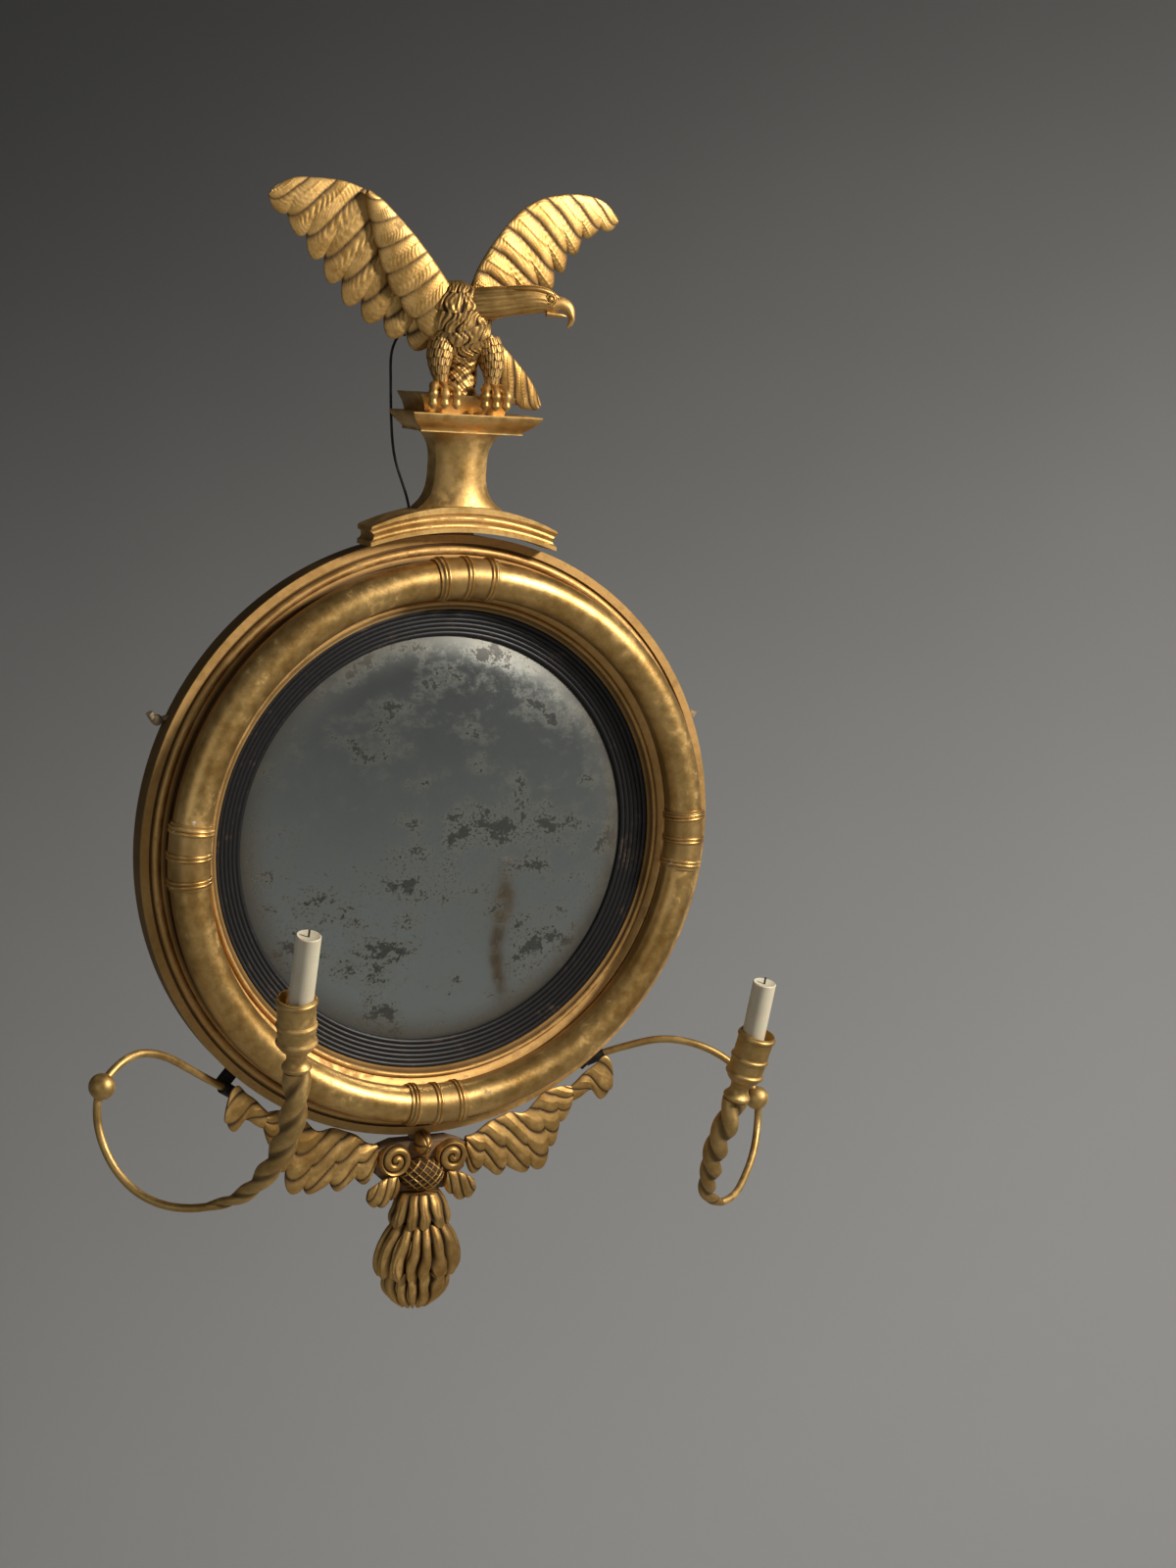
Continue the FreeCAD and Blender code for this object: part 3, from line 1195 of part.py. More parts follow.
CUP_AXIS_LEFT = (0.116, -0.193, 0.974)
CUP_AXIS_RIGHT = (0.129, -0.215, 0.968)
BALL_PLACE = 7


def arm_points(points, side):
    """Arm points on one side, carried along with the rim's radius."""
    wider = (get("rim_radius") - 300) * math.sqrt(0.5)
    return [Vector(side * (x + wider), y, z - wider) for x, y, z in points]


def unit(x, y, z):
    return Vector(x, y, z).normalize()


def twist_shape(points, side, axis):
    """Tapering twisted bar of flat facets, with its last section square to the cup's axis."""
    curve = smooth_curve(points)
    first = curve.FirstParameter
    last = curve.LastParameter
    level = points[-1] - points[0]
    across = unit(level.y * -side, level.x * side, 0)
    count = 40
    thin = get("rod_radius") + 0.1
    thick = get("twist_top_radius")
    wires = []
    for k in range(count):
        share = k / (count - 1)
        place = first + (last - first) * share
        squared = max(0, (share - 0.8) / 0.2)
        way = (curve.tangent(place)[0] * (1 - squared) + axis * squared).normalize()
        over = across.cross(way).normalize()
        wide = way.cross(over).normalize()
        swell = math.sin(math.pi / 2 * min(1, share * 1.25)) ** 0.8
        radius = (thin + (thick - thin) * swell) * 0.93
        turn = 2 * math.pi * get("twist_turns") * share ** 0.85 * side
        flat = 0.16 * min(1, share * 8)
        ring = []
        for n in range(POINTS_ROUND):
            angle = 2 * math.pi * n / POINTS_ROUND
            reach = radius * (1 - flat + flat * math.cos(2 * angle) + 0.25 * flat * math.cos(4 * angle))
            spun = angle + turn
            ring.append(curve.value(place) + wide * (reach * math.cos(spun)) + over * (reach * math.sin(spun)))
        wires.append(Part.makePolygon(ring + ring[:1]))
    return Part.makeLoft(wires, True, True)


def ferrule(points, sleeve):
    """Iron ferrule on a web against the rim; the rod's end sits in it."""
    way = (points[1] - points[0]).normalize()
    length = get("ferrule_length")
    low = points[0] - way * (length * 0.2)
    tube = Part.makeCylinder(get("ferrule_radius"), length, low, way)
    middle = points[0] + way * (length * 0.25)
    outward = Vector(middle.x, 0, middle.z).normalize()
    along = outward.cross(Vector(0, 1, 0))
    wide = get("web_width")
    thick = get("web_thickness")
    reach = math.hypot(middle.x, middle.z) - get("rim_radius") + thick / 2
    web = Part.makeBox(wide, thick, reach)
    turn = FreeCAD.Rotation(along, Vector(0, 1, 0), outward, "ZYX")
    corner = middle - outward * reach - along * (wide / 2) - Vector(0, thick / 2, 0)
    web.Placement = FreeCAD.Placement(corner, turn)
    rim_space = Part.makeCylinder(get("rim_radius"), 60, Vector(0, 10, 0), Vector(0, -1, 0))
    return cut_away(tube.fuse(web), rim_space, sleeve)


def arm_iron():
    """Rods, their ferrules and balls, and the twisted ends that carry the cups."""
    ferrules = []
    for word, side, rod_route, twist_route in (("left", -1, ROD_LEFT, TWIST_LEFT),
                                               ("right", 1, ROD_RIGHT, TWIST_RIGHT)):
        route = arm_points(rod_route, side)
        rod = rod_shape(route, get("rod_radius"))
        sleeve = rod_shape(route, get("rod_radius") + get("fit_clearance") / 2)
        ferrules.append(ferrule(route, sleeve))
        shaped("%s_rod" % word, rod)
        ball = Part.makeSphere(get("ball_radius"), route[BALL_PLACE])
        shaped("%s_ball" % word, cut_away(ball, sleeve))
        axis = arm_end(word)[1]
        shaped("%s_twist" % word, twist_shape(arm_points(twist_route, side), side, axis))
    shaped("arm_ferrules", Part.makeCompound(ferrules))


def arm_end(word):
    """Top of a twist and the way its cup points."""
    left = word == "left"
    route = TWIST_LEFT if left else TWIST_RIGHT
    axis = CUP_AXIS_LEFT if left else CUP_AXIS_RIGHT
    side = -1 if left else 1
    end = arm_points(route, side)[-1]
    return end, unit(side * axis[0], axis[1], axis[2])


def stand_along(origin, axis):
    return FreeCAD.Placement(origin, FreeCAD.Rotation(Vector(0, 0, 1), axis))


def cup_spigots():
    """Iron pins on the twists, each with a shoulder that keeps its cup clear."""
    pins = []
    for word in ("left", "right"):
        end, axis = arm_end(word)
        pin = doc.addObject("Part::Cylinder", "spigot_pin")
        pin.setExpression("Radius", "dims.spigot_radius")
        pin.setExpression("Height", "dims.spigot_length")
        shoulder = doc.addObject("Part::Cylinder", "spigot_shoulder")
        shoulder.setExpression("Radius", "dims.spigot_shoulder")
        shoulder.setExpression("Height", "dims.cup_gap - dims.spigot_seat - 0.1")
        spigot = doc.addObject("Part::Fuse", "spigot")
        spigot.Base = pin
        spigot.Tool = shoulder
        for helper in (pin, shoulder):
            helper.Placement = stand_along(end + axis * get("spigot_seat"), axis)
            helper.Visibility = False
        spigot.Visibility = False
        pins.append(spigot)
    group = doc.addObject("Part::Compound", "cup_spigots")
    group.Label = "cup_spigots"
    group.Links = pins
    nodes.append(group)


def cup(word):
    """Turned candle cup: beaded bowl on a waisted neck, bored for its spigot."""
    bore = "dims.spigot_radius + dims.spigot_clearance"
    top = "dims.cup_height"
    body = turned("%s_cup" % word, [
        (bore, "0"),
        ("dims.cup_radius - 6.4", "0"),
        ("dims.cup_radius - 6.4", "5", "-3.2"),
        ("dims.cup_radius - 9.4", "11", "9"),
        ("dims.cup_radius - 7.6", "18", "12"),
        ("dims.cup_radius - 1.6", "25", "-14"),
        ("dims.cup_radius - 1", "30", "-2.9"),
        ("dims.cup_radius - 1.6", "31"),
        ("dims.cup_radius - 1.2", "42"),
        ("dims.cup_radius - 1.2", "46.4", "-2.6"),
        ("dims.cup_radius - 1.6", "47.4"),
        ("dims.cup_radius - 1.2", "%s - 6" % top),
        ("dims.cup_radius - 1.2", "%s - 1.4" % top, "-2.6"),
        ("dims.cup_radius - 1.7", top),
        ("dims.cup_bore", top),
        ("dims.cup_bore", "dims.cup_floor"),
        ("0", "dims.cup_floor"),
        ("0", "dims.spigot_length + 1"),
        (bore, "dims.spigot_length + 1"),
    ], "XZ_Plane")
    end, axis = arm_end(word)
    body.Placement = stand_along(end + axis * get("cup_gap"), axis)


def candle_pose(word):
    """Foot and direction of a candle that leans against its cup's lip."""
    end, axis = arm_end(word)
    lean = math.radians(get("candle_lean"))
    sideways = unit(0.89, -0.455, 0) * (1 if word == "left" else -1)
    sideways = (sideways - axis * sideways.dot(axis)).normalize()
    upright = axis * math.cos(lean) + sideways * math.sin(lean)
    lift = get("candle_radius") * math.sin(lean) + 0.15
    foot = end + axis * (get("cup_gap") + get("cup_floor") + lift)
    return foot, upright


def candle(word):
    """Wax candle with a socket for its wick."""
    length = "dims.%s_candle_length" % word
    hole = "dims.wick_radius + 0.1"
    body = turned("%s_candle" % word, [
        ("0", "0"),
        ("dims.candle_radius - 0.4", "0"),
        ("dims.candle_radius", "0.6"),
        ("dims.candle_radius", "%s - 0.8" % length),
        ("dims.candle_radius - 0.8", length),
        ("%s + 1.2" % hole, "%s - 1.4" % length, "24"),
        (hole, "%s - 1.5" % length),
        (hole, "%s - 1.5 - dims.wick_hole_depth" % length),
        ("0", "%s - 1.5 - dims.wick_hole_depth" % length),
    ], "XZ_Plane")
    foot, upright = candle_pose(word)
    body.Placement = stand_along(foot, upright)
    wick = doc.addObject("Part::Cylinder", "%s_wick" % word)
    wick.Label = "%s_wick" % word
    wick.setExpression("Radius", "dims.wick_radius")
    wick.setExpression("Height", "dims.wick_hole_depth + 1.5 + dims.wick_height")
    low = get("%s_candle_length" % word) - 1.5 - get("wick_hole_depth")
    wick.Placement = stand_along(foot + upright * low, upright)
    nodes.append(wick)


# ---------------------------------------------------------------- hanging rope


def hanging_rope():
    """Taut rope behind the backboard: two straight runs and a tangent bend over the hook."""
    apex = rope_apex_point()
    right = rope_side_point(1)
    fall = math.atan2(apex.z - right.z, right.x)
    bend = get("rope_bend")
    tangent = bend * math.tan(fall)
    run_end = Vector(tangent * math.cos(fall), apex.y, apex.z - tangent * math.sin(fall))
    other_end = Vector(-run_end.x, run_end.y, run_end.z)
    crown = Vector(0, apex.y, apex.z - bend / math.cos(fall) + bend)
    way = (right - run_end).normalize()
    tail = right + way * get("knot_gap")
    other_tail = Vector(-tail.x, tail.y, tail.z)
    spine = Part.Wire([
        Part.makeLine(other_tail, other_end),
        Part.Arc(other_end, crown, run_end).toShape(),
        Part.makeLine(run_end, tail),
    ])
    start_way = (other_end - other_tail).normalize()
    profile = Part.Wire(Part.makeCircle(get("rope_radius"), other_tail, start_way))
    rope = spine.makePipeShell([profile], True, False)
    shaped("hanging_rope", rope)
    section = math.pi * get("rope_radius") ** 2
    print("rope length %.1f mm, bend radius %.1f mm" % (spine.Length, bend))
    print("rope volume over section times length %.4f" % (rope.Volume / (section * spine.Length)))


def knot(word, side, frayed):
    """Stopper knot outside the rim: a ball, two wraps and a short tail."""
    away = (rope_side_point(side) - rope_apex_point()).normalize()
    face = rope_side_point(side) + away * get("knot_gap")
    radius = get("knot_radius")
    middle = face + away * (radius * 0.86)
    lump = Part.makeSphere(radius, middle)
    wrap = Part.makeTorus(radius * 0.72, radius * 0.3, middle, unit(0.5 * side, 0.1, 1))
    thin = get("rope_radius")
    thick = thin * 1.4 if frayed else thin * 1.05
    length = get("knot_tail" if frayed else "knot_short_tail")
    tail = Part.makeCone(thin, thick, length, middle + away * (radius * 0.6),
                         unit(side * 0.5, -0.1, 0.86))
    solid = lump.fuse(wrap).fuse(tail)
    space = Part.makeCylinder(3 * radius, 4 * radius, face, away * -1)
    shaped("rope_knot_%s" % word, cut_away(solid, space))


# ---------------------------------------------------------------- build and export

frame_rim()
torus_moulding()
inner_moulding()
reeded_slip()
mirror_glass()
glass_blocks()
backboard()
backboard_screws()
collars()
tongues()
plinth_base()
plinth_shaft()
plinth_cap_and_slab()
eagle()
stay()
apron_block()
volute("apron_left_volute", "-")
volute("apron_right_volute", "")
half_oval("apron_boss", "boss_drop", "boss_half_width", "boss_half_height", "boss_depth", volute_spaces())
half_oval("apron_bud", "bud_drop", "bud_half_width", "bud_half_height", "bud_depth")
apron_carvings()
apron_drop()
arm_iron()
cup_spigots()
for arm in ("left", "right"):
    cup(arm)
    candle(arm)
hanging_rope()
knot("left", -1, True)
knot("right", 1, False)
doc.recompute()

for item in doc.Objects:
    if "Invalid" in item.State or "Error" in item.State:
        raise RuntimeError("%s is %s" % (item.Label, item.State))
os.makedirs("parts", exist_ok=True)
for node in nodes:
    if node.Shape.isNull() or not node.Shape.isValid():
        raise RuntimeError("%s has no valid shape" % node.Label)
    node.Shape.exportStep("parts/%s.step" % node.Label)
print("%d sub-parts" % len(nodes))
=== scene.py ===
# %% [markdown]
# # A girandole mirror
# A girandole is a round convex mirror with candle arms. The frame is turned and carved
# pine, laid with gold leaf over red clay and white gesso, and two centuries of dusting
# have rubbed the leaf through on every edge. The CAD model gives each piece its place.
# This notebook gives the pieces their carving and their finishes.

# %% Load the frame and measure it
import math

import bpy
import numpy as np
from mathutils import Matrix, Vector


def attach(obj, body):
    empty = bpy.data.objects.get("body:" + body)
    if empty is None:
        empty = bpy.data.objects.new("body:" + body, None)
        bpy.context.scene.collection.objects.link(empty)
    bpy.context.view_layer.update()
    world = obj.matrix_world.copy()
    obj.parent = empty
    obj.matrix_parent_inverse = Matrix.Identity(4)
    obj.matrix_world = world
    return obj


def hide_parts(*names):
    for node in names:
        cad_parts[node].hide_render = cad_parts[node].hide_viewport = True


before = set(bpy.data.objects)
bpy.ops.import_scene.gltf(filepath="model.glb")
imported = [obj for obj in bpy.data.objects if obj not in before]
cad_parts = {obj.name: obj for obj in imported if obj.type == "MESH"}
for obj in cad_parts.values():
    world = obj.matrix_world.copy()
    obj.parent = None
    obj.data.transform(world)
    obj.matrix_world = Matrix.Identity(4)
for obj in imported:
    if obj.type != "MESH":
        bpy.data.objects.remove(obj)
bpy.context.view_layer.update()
MM = 0.001
SLAB_TOP = 433.0
RIM_RADIUS = 300.0
FRAME_BODY = "frame"
print("pieces in the frame:", len(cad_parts))

# %% [markdown]
# ## Smooth lines
# A carver draws an edge as one easy curve through a few marks. A cubic spline does the
# same. Its parameter here is the length of the straight runs between the marks, so even
# steps of it are nearly even steps along the curve.

# %% A smooth line through marks


def smooth_line(marks, places):
    """Natural cubic spline through the marks, read at places from 0 to 1.

    The knots are the straight distances between the first three columns. Further
    columns, such as a width, are carried along on the same knots.
    """
    marks = np.asarray(marks, float)
    runs = np.linalg.norm(np.diff(marks[:, :3], axis=0), axis=1)
    knots = np.concatenate(([0.0], np.cumsum(runs))) / runs.sum()
    step = np.diff(knots)
    inner = np.arange(1, len(marks) - 1)
    system = np.eye(len(marks))
    system[inner, inner - 1] = step[:-1]
    system[inner, inner] = 2 * (step[:-1] + step[1:])
    system[inner, inner + 1] = step[1:]
    wanted = np.zeros_like(marks)
    wanted[1:-1] = 6 * np.diff(np.diff(marks, axis=0) / step[:, None], axis=0)
    bend = np.linalg.solve(system, wanted)
    run = np.clip(np.searchsorted(knots, places, side="right") - 1, 0, len(step) - 1)
    left = ((knots[run + 1] - places) / step[run])[:, None]
    right = 1 - left
    curved = (left**3 - left) * bend[run] + (right**3 - right) * bend[run + 1]
    return left * marks[run] + right * marks[run + 1] + curved * (step[run] ** 2)[:, None] / 6


def unit(vectors):
    """Each vector divided by its own length."""
    vectors = np.asarray(vectors, float)
    return vectors / np.linalg.norm(vectors, axis=-1, keepdims=True)


# %% [markdown]
# ## Skins
# Every new piece is a grid of points: one direction runs along the piece and the other
# round it. Neighbouring points make a four-sided face. The piece is closed, so the sign
# of its volume tells whether the faces point outwards, and they are turned if they don't.
# Each point also carries a mark called hollow, 0 on a ridge and 1 in a cut, which the
# gilding reads to darken the cuts with painted shade and some dirt, and to put wear on the ridges.

# %% A closed skin over a grid


def skin(grid, hollow, ring=False):
    """Closed shell over grid[row, column]; columns close, and rows too for a ring.

    The volume is the sum over triangles of a . (b x c) / 6, and a negative sum turns
    every face round.
    """
    rows, columns = grid.shape[:2]
    number = np.arange(rows * columns).reshape(rows, columns)
    beside = np.roll(number, -1, axis=1)
    if ring:
        above, above_beside = np.roll(number, -1, axis=0), np.roll(beside, -1, axis=0)
        low, low_beside = number, beside
    else:
        low, low_beside, above, above_beside = number[:-1], beside[:-1], number[1:], beside[1:]
    quads = np.stack((low, low_beside, above_beside, above), axis=-1).reshape(-1, 4)
    points = grid.reshape(-1, 3)
    marks = np.broadcast_to(hollow, (rows, columns)).reshape(-1)
    ends = np.zeros((0, 3), int)
    if not ring:
        first, last = len(points), len(points) + 1
        points = np.vstack((points, grid[0].mean(axis=0), grid[-1].mean(axis=0)))
        marks = np.append(marks, (marks[:columns].mean(), marks[-columns:].mean()))
        start = np.stack((beside[0], number[0], np.full(columns, first)), axis=-1)
        finish = np.stack((number[-1], beside[-1], np.full(columns, last)), axis=-1)
        ends = np.vstack((start, finish))
    halves = np.vstack((quads[:, [0, 1, 2]], quads[:, [0, 2, 3]], ends))
    a, b, c = points[halves[:, 0]], points[halves[:, 1]], points[halves[:, 2]]
    if np.einsum("ij,ij->i", a, np.cross(b, c)).sum() < 0:
        quads, ends = quads[:, ::-1], ends[:, ::-1]
    return points, quads, ends, marks


# %% One object from its shells


def carved(name, shells, finish, nodes, body=FRAME_BODY, crease=50):
    """Object made of closed shells in millimetres that stands for CAD nodes."""
    points, faces, marks, count = [], [], [], 0
    for shell_points, quads, ends, hollow in shells:
        points.append(shell_points * MM)
        faces += (quads + count).tolist() + (ends + count).tolist()
        marks.append(hollow)
        count += len(shell_points)
    mesh = bpy.data.meshes.new(name)
    mesh.from_pydata(np.vstack(points), [], faces)
    mesh.attributes.new("hollow", "FLOAT", "POINT").data.foreach_set(
        "value", np.concatenate(marks).astype(np.float32))
    mesh.shade_smooth()
    mesh.set_sharp_from_angle(angle=math.radians(crease))
    mesh.materials.append(finish)
    piece = bpy.data.objects.new(name, mesh)
    bpy.context.scene.collection.objects.link(piece)
    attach(piece, body)
    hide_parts(*nodes)
    print(name, len(faces), "faces")
    return piece


# %% [markdown]
# ## Shader sums
# Finishes are written as sums, such as `hollow * 0.8 + cloud`. One small class holds a
# socket and turns each operator into a Math node.

# %% Sums on sockets


class Reading:
    """A value socket that can be used in sums."""

    def __init__(self, finish, socket):
        self.finish = finish
        self.socket = socket

    def joined(self, operation, other, swapped=False):
        first, second = (other, self) if swapped else (self, other)
        return self.finish.node("ShaderNodeMath", {0: first, 1: second}, operation=operation)

    def __add__(self, other):
        return self.joined("ADD", other)

    __radd__ = __add__

    def __mul__(self, other):
        return self.joined("MULTIPLY", other)

    __rmul__ = __mul__

    def __sub__(self, other):
        return self.joined("SUBTRACT", other)

    def __rsub__(self, other):
        return self.joined("SUBTRACT", other, swapped=True)

    def between(self, low, high):
        """0 below low, 1 above high, and a soft step between."""
        return self.finish.node(
            "ShaderNodeMapRange", {"Value": self, "From Min": low, "From Max": high},
            interpolation_type="SMOOTHSTEP")


class Finish:
    """One material, or the air round the studio, and the nodes that make it."""

    def __init__(self, name, holder=None, surface="Principled BSDF", place="Object"):
        self.material = holder or bpy.data.materials.new(name)
        self.material.use_nodes = True
        self.tree = self.material.node_tree
        self.surface = self.tree.nodes[surface]
        self.place = self.node("ShaderNodeTexCoord", output=place)

    def node(self, kind, sockets=None, output=0, **settings):
        """New node; settings go first, then the values or links of its sockets."""
        made = self.tree.nodes.new(kind)
        for setting, value in settings.items():
            setattr(made, setting, value)
        for socket, value in (sockets or {}).items():
            self.put(made.inputs[socket], value)
        return Reading(self, made.outputs[output])

    def put(self, socket, value):
        if isinstance(value, Reading):
            self.tree.links.new(value.socket, socket)
        else:
            socket.default_value = value

    def set(self, **sockets):
        """Sockets of the surface, with spaces written as underscores."""
        for name, value in sockets.items():
            self.put(self.surface.inputs[name.replace("_", " ")], value)

    def noise(self, scale, detail=5.0, roughness=0.55, stretch=(1, 1, 1)):
        """Cloudy pattern on the piece's own coordinates, scale in clouds per metre."""
        place = self.node("ShaderNodeMapping", {"Vector": self.place, "Scale": stretch})
        return self.node("ShaderNodeTexNoise", {
            "Vector": place, "Scale": scale, "Detail": detail, "Roughness": roughness})

    def mark(self, name):
        """A value that the mesh carries on its points."""
        return self.node("ShaderNodeAttribute", output="Fac", attribute_name=name)

    def mixed(self, share, first, second):
        """Colour that goes from first to second as share goes from 0 to 1."""
        made = self.tree.nodes.new("ShaderNodeMix")
        made.data_type = "RGBA"
        for socket, value in ((made.inputs["Factor"], share), (made.inputs[6], first),
                              (made.inputs[7], second)):
            self.put(socket, value)
        return Reading(self, made.outputs[2])

    def rough_skin(self, height, distance, strength=1.0):
        """Small relief in the surface's normal."""
        bump = self.node("ShaderNodeBump", {
            "Height": height, "Distance": distance, "Strength": strength}, output="Normal")
        self.put(self.surface.inputs["Normal"], bump)


# %% [markdown]
# ## Gilding
# Gold leaf is laid over clay and gesso. Where hands and cloths have rubbed, the leaf
# turns to a dull tan clay, and a knock shows the white gesso. The cuts are painted a dark
# brown as painted shade, and fine specks of the same brown stand for dirt. One function
# makes every gilded finish, so that the mouldings, the carvings and the arms differ only
# in how polished they are and how much painted shade and dirt they carry.

# %% Gilding
LEAF_BRIGHT = (0.84, 0.54, 0.20, 1)
LEAF_DEEP = (0.47, 0.26, 0.07, 1)
DIRT_AND_CAVITY_SHADE = (0.075, 0.036, 0.010, 1)
CLAY = (0.47, 0.255, 0.115, 1)
OCHRE = (0.60, 0.36, 0.11, 1)
GESSO = (0.80, 0.73, 0.62, 1)


def gilding(name, polish, dirt_and_shade, wear, chips, bright=LEAF_BRIGHT, deep=LEAF_DEEP):
    """Gold leaf: polish, wear and chips each from 0 to 1, and a 0-to-1 amount of painted shade in
    the cuts with dirt specks.
    """
    leaf = Finish(name)
    cloud = leaf.noise(16, detail=6)
    mottle = leaf.noise(75, detail=7, roughness=0.65)
    grain = leaf.noise(420, detail=4, roughness=0.7)
    hollow = leaf.mark("hollow")
    gold = leaf.mixed((cloud * 0.6 + mottle * 0.5).between(0.38, 0.72), deep, bright)
    matt = mottle * 0.6 + cloud * 0.55 + grain * 0.2
    matt = matt.between(0.80 - wear * 0.16, 0.90 - wear * 0.1)
    matt = matt * (1 - hollow.between(0.2, 0.7))
    rubbed = leaf.mixed(matt, gold, leaf.mixed(cloud.between(0.4, 0.6), CLAY, OCHRE))
    # Painted shade: the first term darkens the cuts (hollow) towards the dark brown as if shade
    # fell there; the second adds real dirt specks.
    soot_and_shade = (hollow * 1.15 + mottle * 0.35 - 0.18).between(0.22, 1.0) * dirt_and_shade
    soot_and_shade = soot_and_shade + (mottle * 0.7 + grain * 0.5).between(0.70, 0.95) * (dirt_and_shade * 0.35)
    soiled_and_shaded = leaf.mixed(soot_and_shade, rubbed, DIRT_AND_CAVITY_SHADE)
    chipped = mottle * 0.75 + grain * 0.3 + cloud * 0.12
    chipped = chipped.between(0.80 - chips * 0.08, 0.815 - chips * 0.08)
    chipped = chipped * (1 - hollow.between(0.3, 0.6))
    leaf.set(
        Base_Color=leaf.mixed(chipped, soiled_and_shaded, GESSO),
        Metallic=(1 - chipped) * (1 - matt * 0.75) * (1 - soot_and_shade * 0.6) * 0.92,
        Roughness=(0.52 - polish * 0.26) + mottle * 0.22 + matt * 0.2 + soot_and_shade * 0.15,
    )
    leaf.rough_skin(mottle * 0.6 + grain * 0.4 - chipped * 0.5, 0.0006, 0.5)
    return leaf.material


BURNISHED = gilding("burnished gilding", polish=0.9, dirt_and_shade=0.75, wear=0.45, chips=0.75)
MATT_GILT = gilding("matt gilding", polish=0.35, dirt_and_shade=0.75, wear=0.8, chips=0.35,
                    bright=(0.80, 0.49, 0.18, 1), deep=(0.54, 0.31, 0.10, 1))
CARVED_GILT = gilding("carved gilding", polish=0.55, dirt_and_shade=1.0, wear=0.55, chips=0.25,
                      bright=(0.86, 0.54, 0.19, 1), deep=(0.46, 0.25, 0.065, 1))
ARM_GILT = gilding("arm gilding", polish=0.5, dirt_and_shade=0.7, wear=0.5, chips=0.3,
                   bright=(0.78, 0.52, 0.20, 1), deep=(0.46, 0.27, 0.08, 1))
PLINTH_GILT = gilding("plinth gilding", polish=0.6, dirt_and_shade=0.6, wear=0.6, chips=0.2)
print("gilded finishes made")


def gilded(name, shells, node, crease=50):
    """One carving of the eagle or the apron; they all share a finish."""
    carved(name, shells, CARVED_GILT, [node], crease=crease)


# %% [markdown]
# ## The old plate
# The plate is silvered on its back. Damp has eaten the silver into grey blotches and
# a fine dark pepper, thickest near the top and the edge. The blotches are two noises
# cut at a level, and the pepper is a fine noise cut higher.

# %% The old plate's finish


def old_silvering():
    """Silvered glass with blotches, pepper and a clouded rim."""
    plate = Finish("old mirror plate")
    cloud = plate.noise(7, detail=7, roughness=0.6)
    drift = plate.noise(22, detail=8, roughness=0.7, stretch=(1, 1, 1.4))
    pepper = plate.noise(330, detail=3, roughness=0.6)
    speck = plate.noise(900, detail=2, roughness=0.5)
    edge = plate.mark("hollow").between(0.80, 0.995)
    stained = (drift * 0.75 + cloud * 0.45).between(0.57, 0.68)
    eaten = (drift * 0.8 + cloud * 0.3 + pepper * 0.14).between(0.675, 0.715)
    dots = (pepper * 0.8 + cloud * 0.35 + speck * 0.1).between(0.70, 0.74)
    dots = dots * (stained * 0.8 + 0.25)
    silver = plate.mixed(stained, (0.46, 0.48, 0.455, 1), (0.37, 0.375, 0.335, 1))
    silver = plate.mixed(dots * 0.85, silver, (0.06, 0.06, 0.055, 1))
    silver = plate.mixed(eaten * 0.9, silver, (0.035, 0.037, 0.035, 1))
    silver = plate.mixed(edge * 0.8, silver, (0.10, 0.085, 0.06, 1))
    haze = stained * 0.14 + dots * 0.2 + edge * 0.3 + cloud * 0.16
    plate.set(Base_Color=silver, Metallic=1 - haze * 0.7 - eaten * 0.5,
              Roughness=0.05 + haze * 0.75, Coat_Weight=0.35, Coat_Roughness=0.03)
    return plate.material


OLD_PLATE = old_silvering()

# %% [markdown]
# ## Plain finishes
# Ebonised wood, bare pine, iron, steel, wax, burnt cotton and jute need only a colour
# that wanders a little and a roughness.

# %% Plain finishes


def plain(name, light, dark, roughness, scale=60, metallic=0.0, relief=0.0, stretch=(1, 1, 1)):
    """Two tones that drift into each other; scale is in clouds per metre."""
    finish = Finish(name)
    drift = finish.noise(scale, detail=6, roughness=0.6, stretch=stretch)
    finish.set(Base_Color=finish.mixed(drift.between(0.3, 0.7), dark, light),
               Roughness=roughness + drift * 0.15, Metallic=metallic)
    if relief:
        finish.rough_skin(drift, relief, 0.6)
    return finish.material


def ebonised():
    """Black lacquer on the slip, brown where its reeds are rubbed."""
    black = Finish("ebonised slip")
    drift = black.noise(30, detail=7, roughness=0.65)
    grain = black.noise(260, detail=4)
    rubbed = (drift * 0.8 + grain * 0.3 - black.mark("hollow") * 0.5).between(0.60, 0.75)
    black.set(Base_Color=black.mixed(rubbed, (0.010, 0.009, 0.009, 1), (0.075, 0.047, 0.030, 1)),
              Roughness=0.34 + grain * 0.25)
    return black.material


EBONISED = ebonised()
BARE_PINE = plain("bare pine", (0.36, 0.23, 0.12, 1), (0.20, 0.12, 0.06, 1), 0.6, 22,
                  stretch=(1, 1, 9))
IRON = plain("black iron", (0.045, 0.04, 0.036, 1), (0.015, 0.013, 0.012, 1), 0.5, 120,
             metallic=0.6, relief=0.0003)
STEEL = plain("screw steel", (0.42, 0.40, 0.38, 1), (0.22, 0.20, 0.18, 1), 0.35, 300, 1.0)
BURNT_COTTON = plain("burnt cotton", (0.05, 0.045, 0.04, 1), (0.02, 0.018, 0.016, 1), 0.9, 900)
JUTE = plain("jute", (0.42, 0.32, 0.19, 1), (0.24, 0.17, 0.09, 1), 0.85, 260, relief=0.0006)
WAX = plain("candle wax", (0.82, 0.74, 0.55, 1), (0.74, 0.64, 0.45, 1), 0.38, 25)
WAX.node_tree.nodes["Principled BSDF"].inputs["Subsurface Weight"].default_value = 0.25
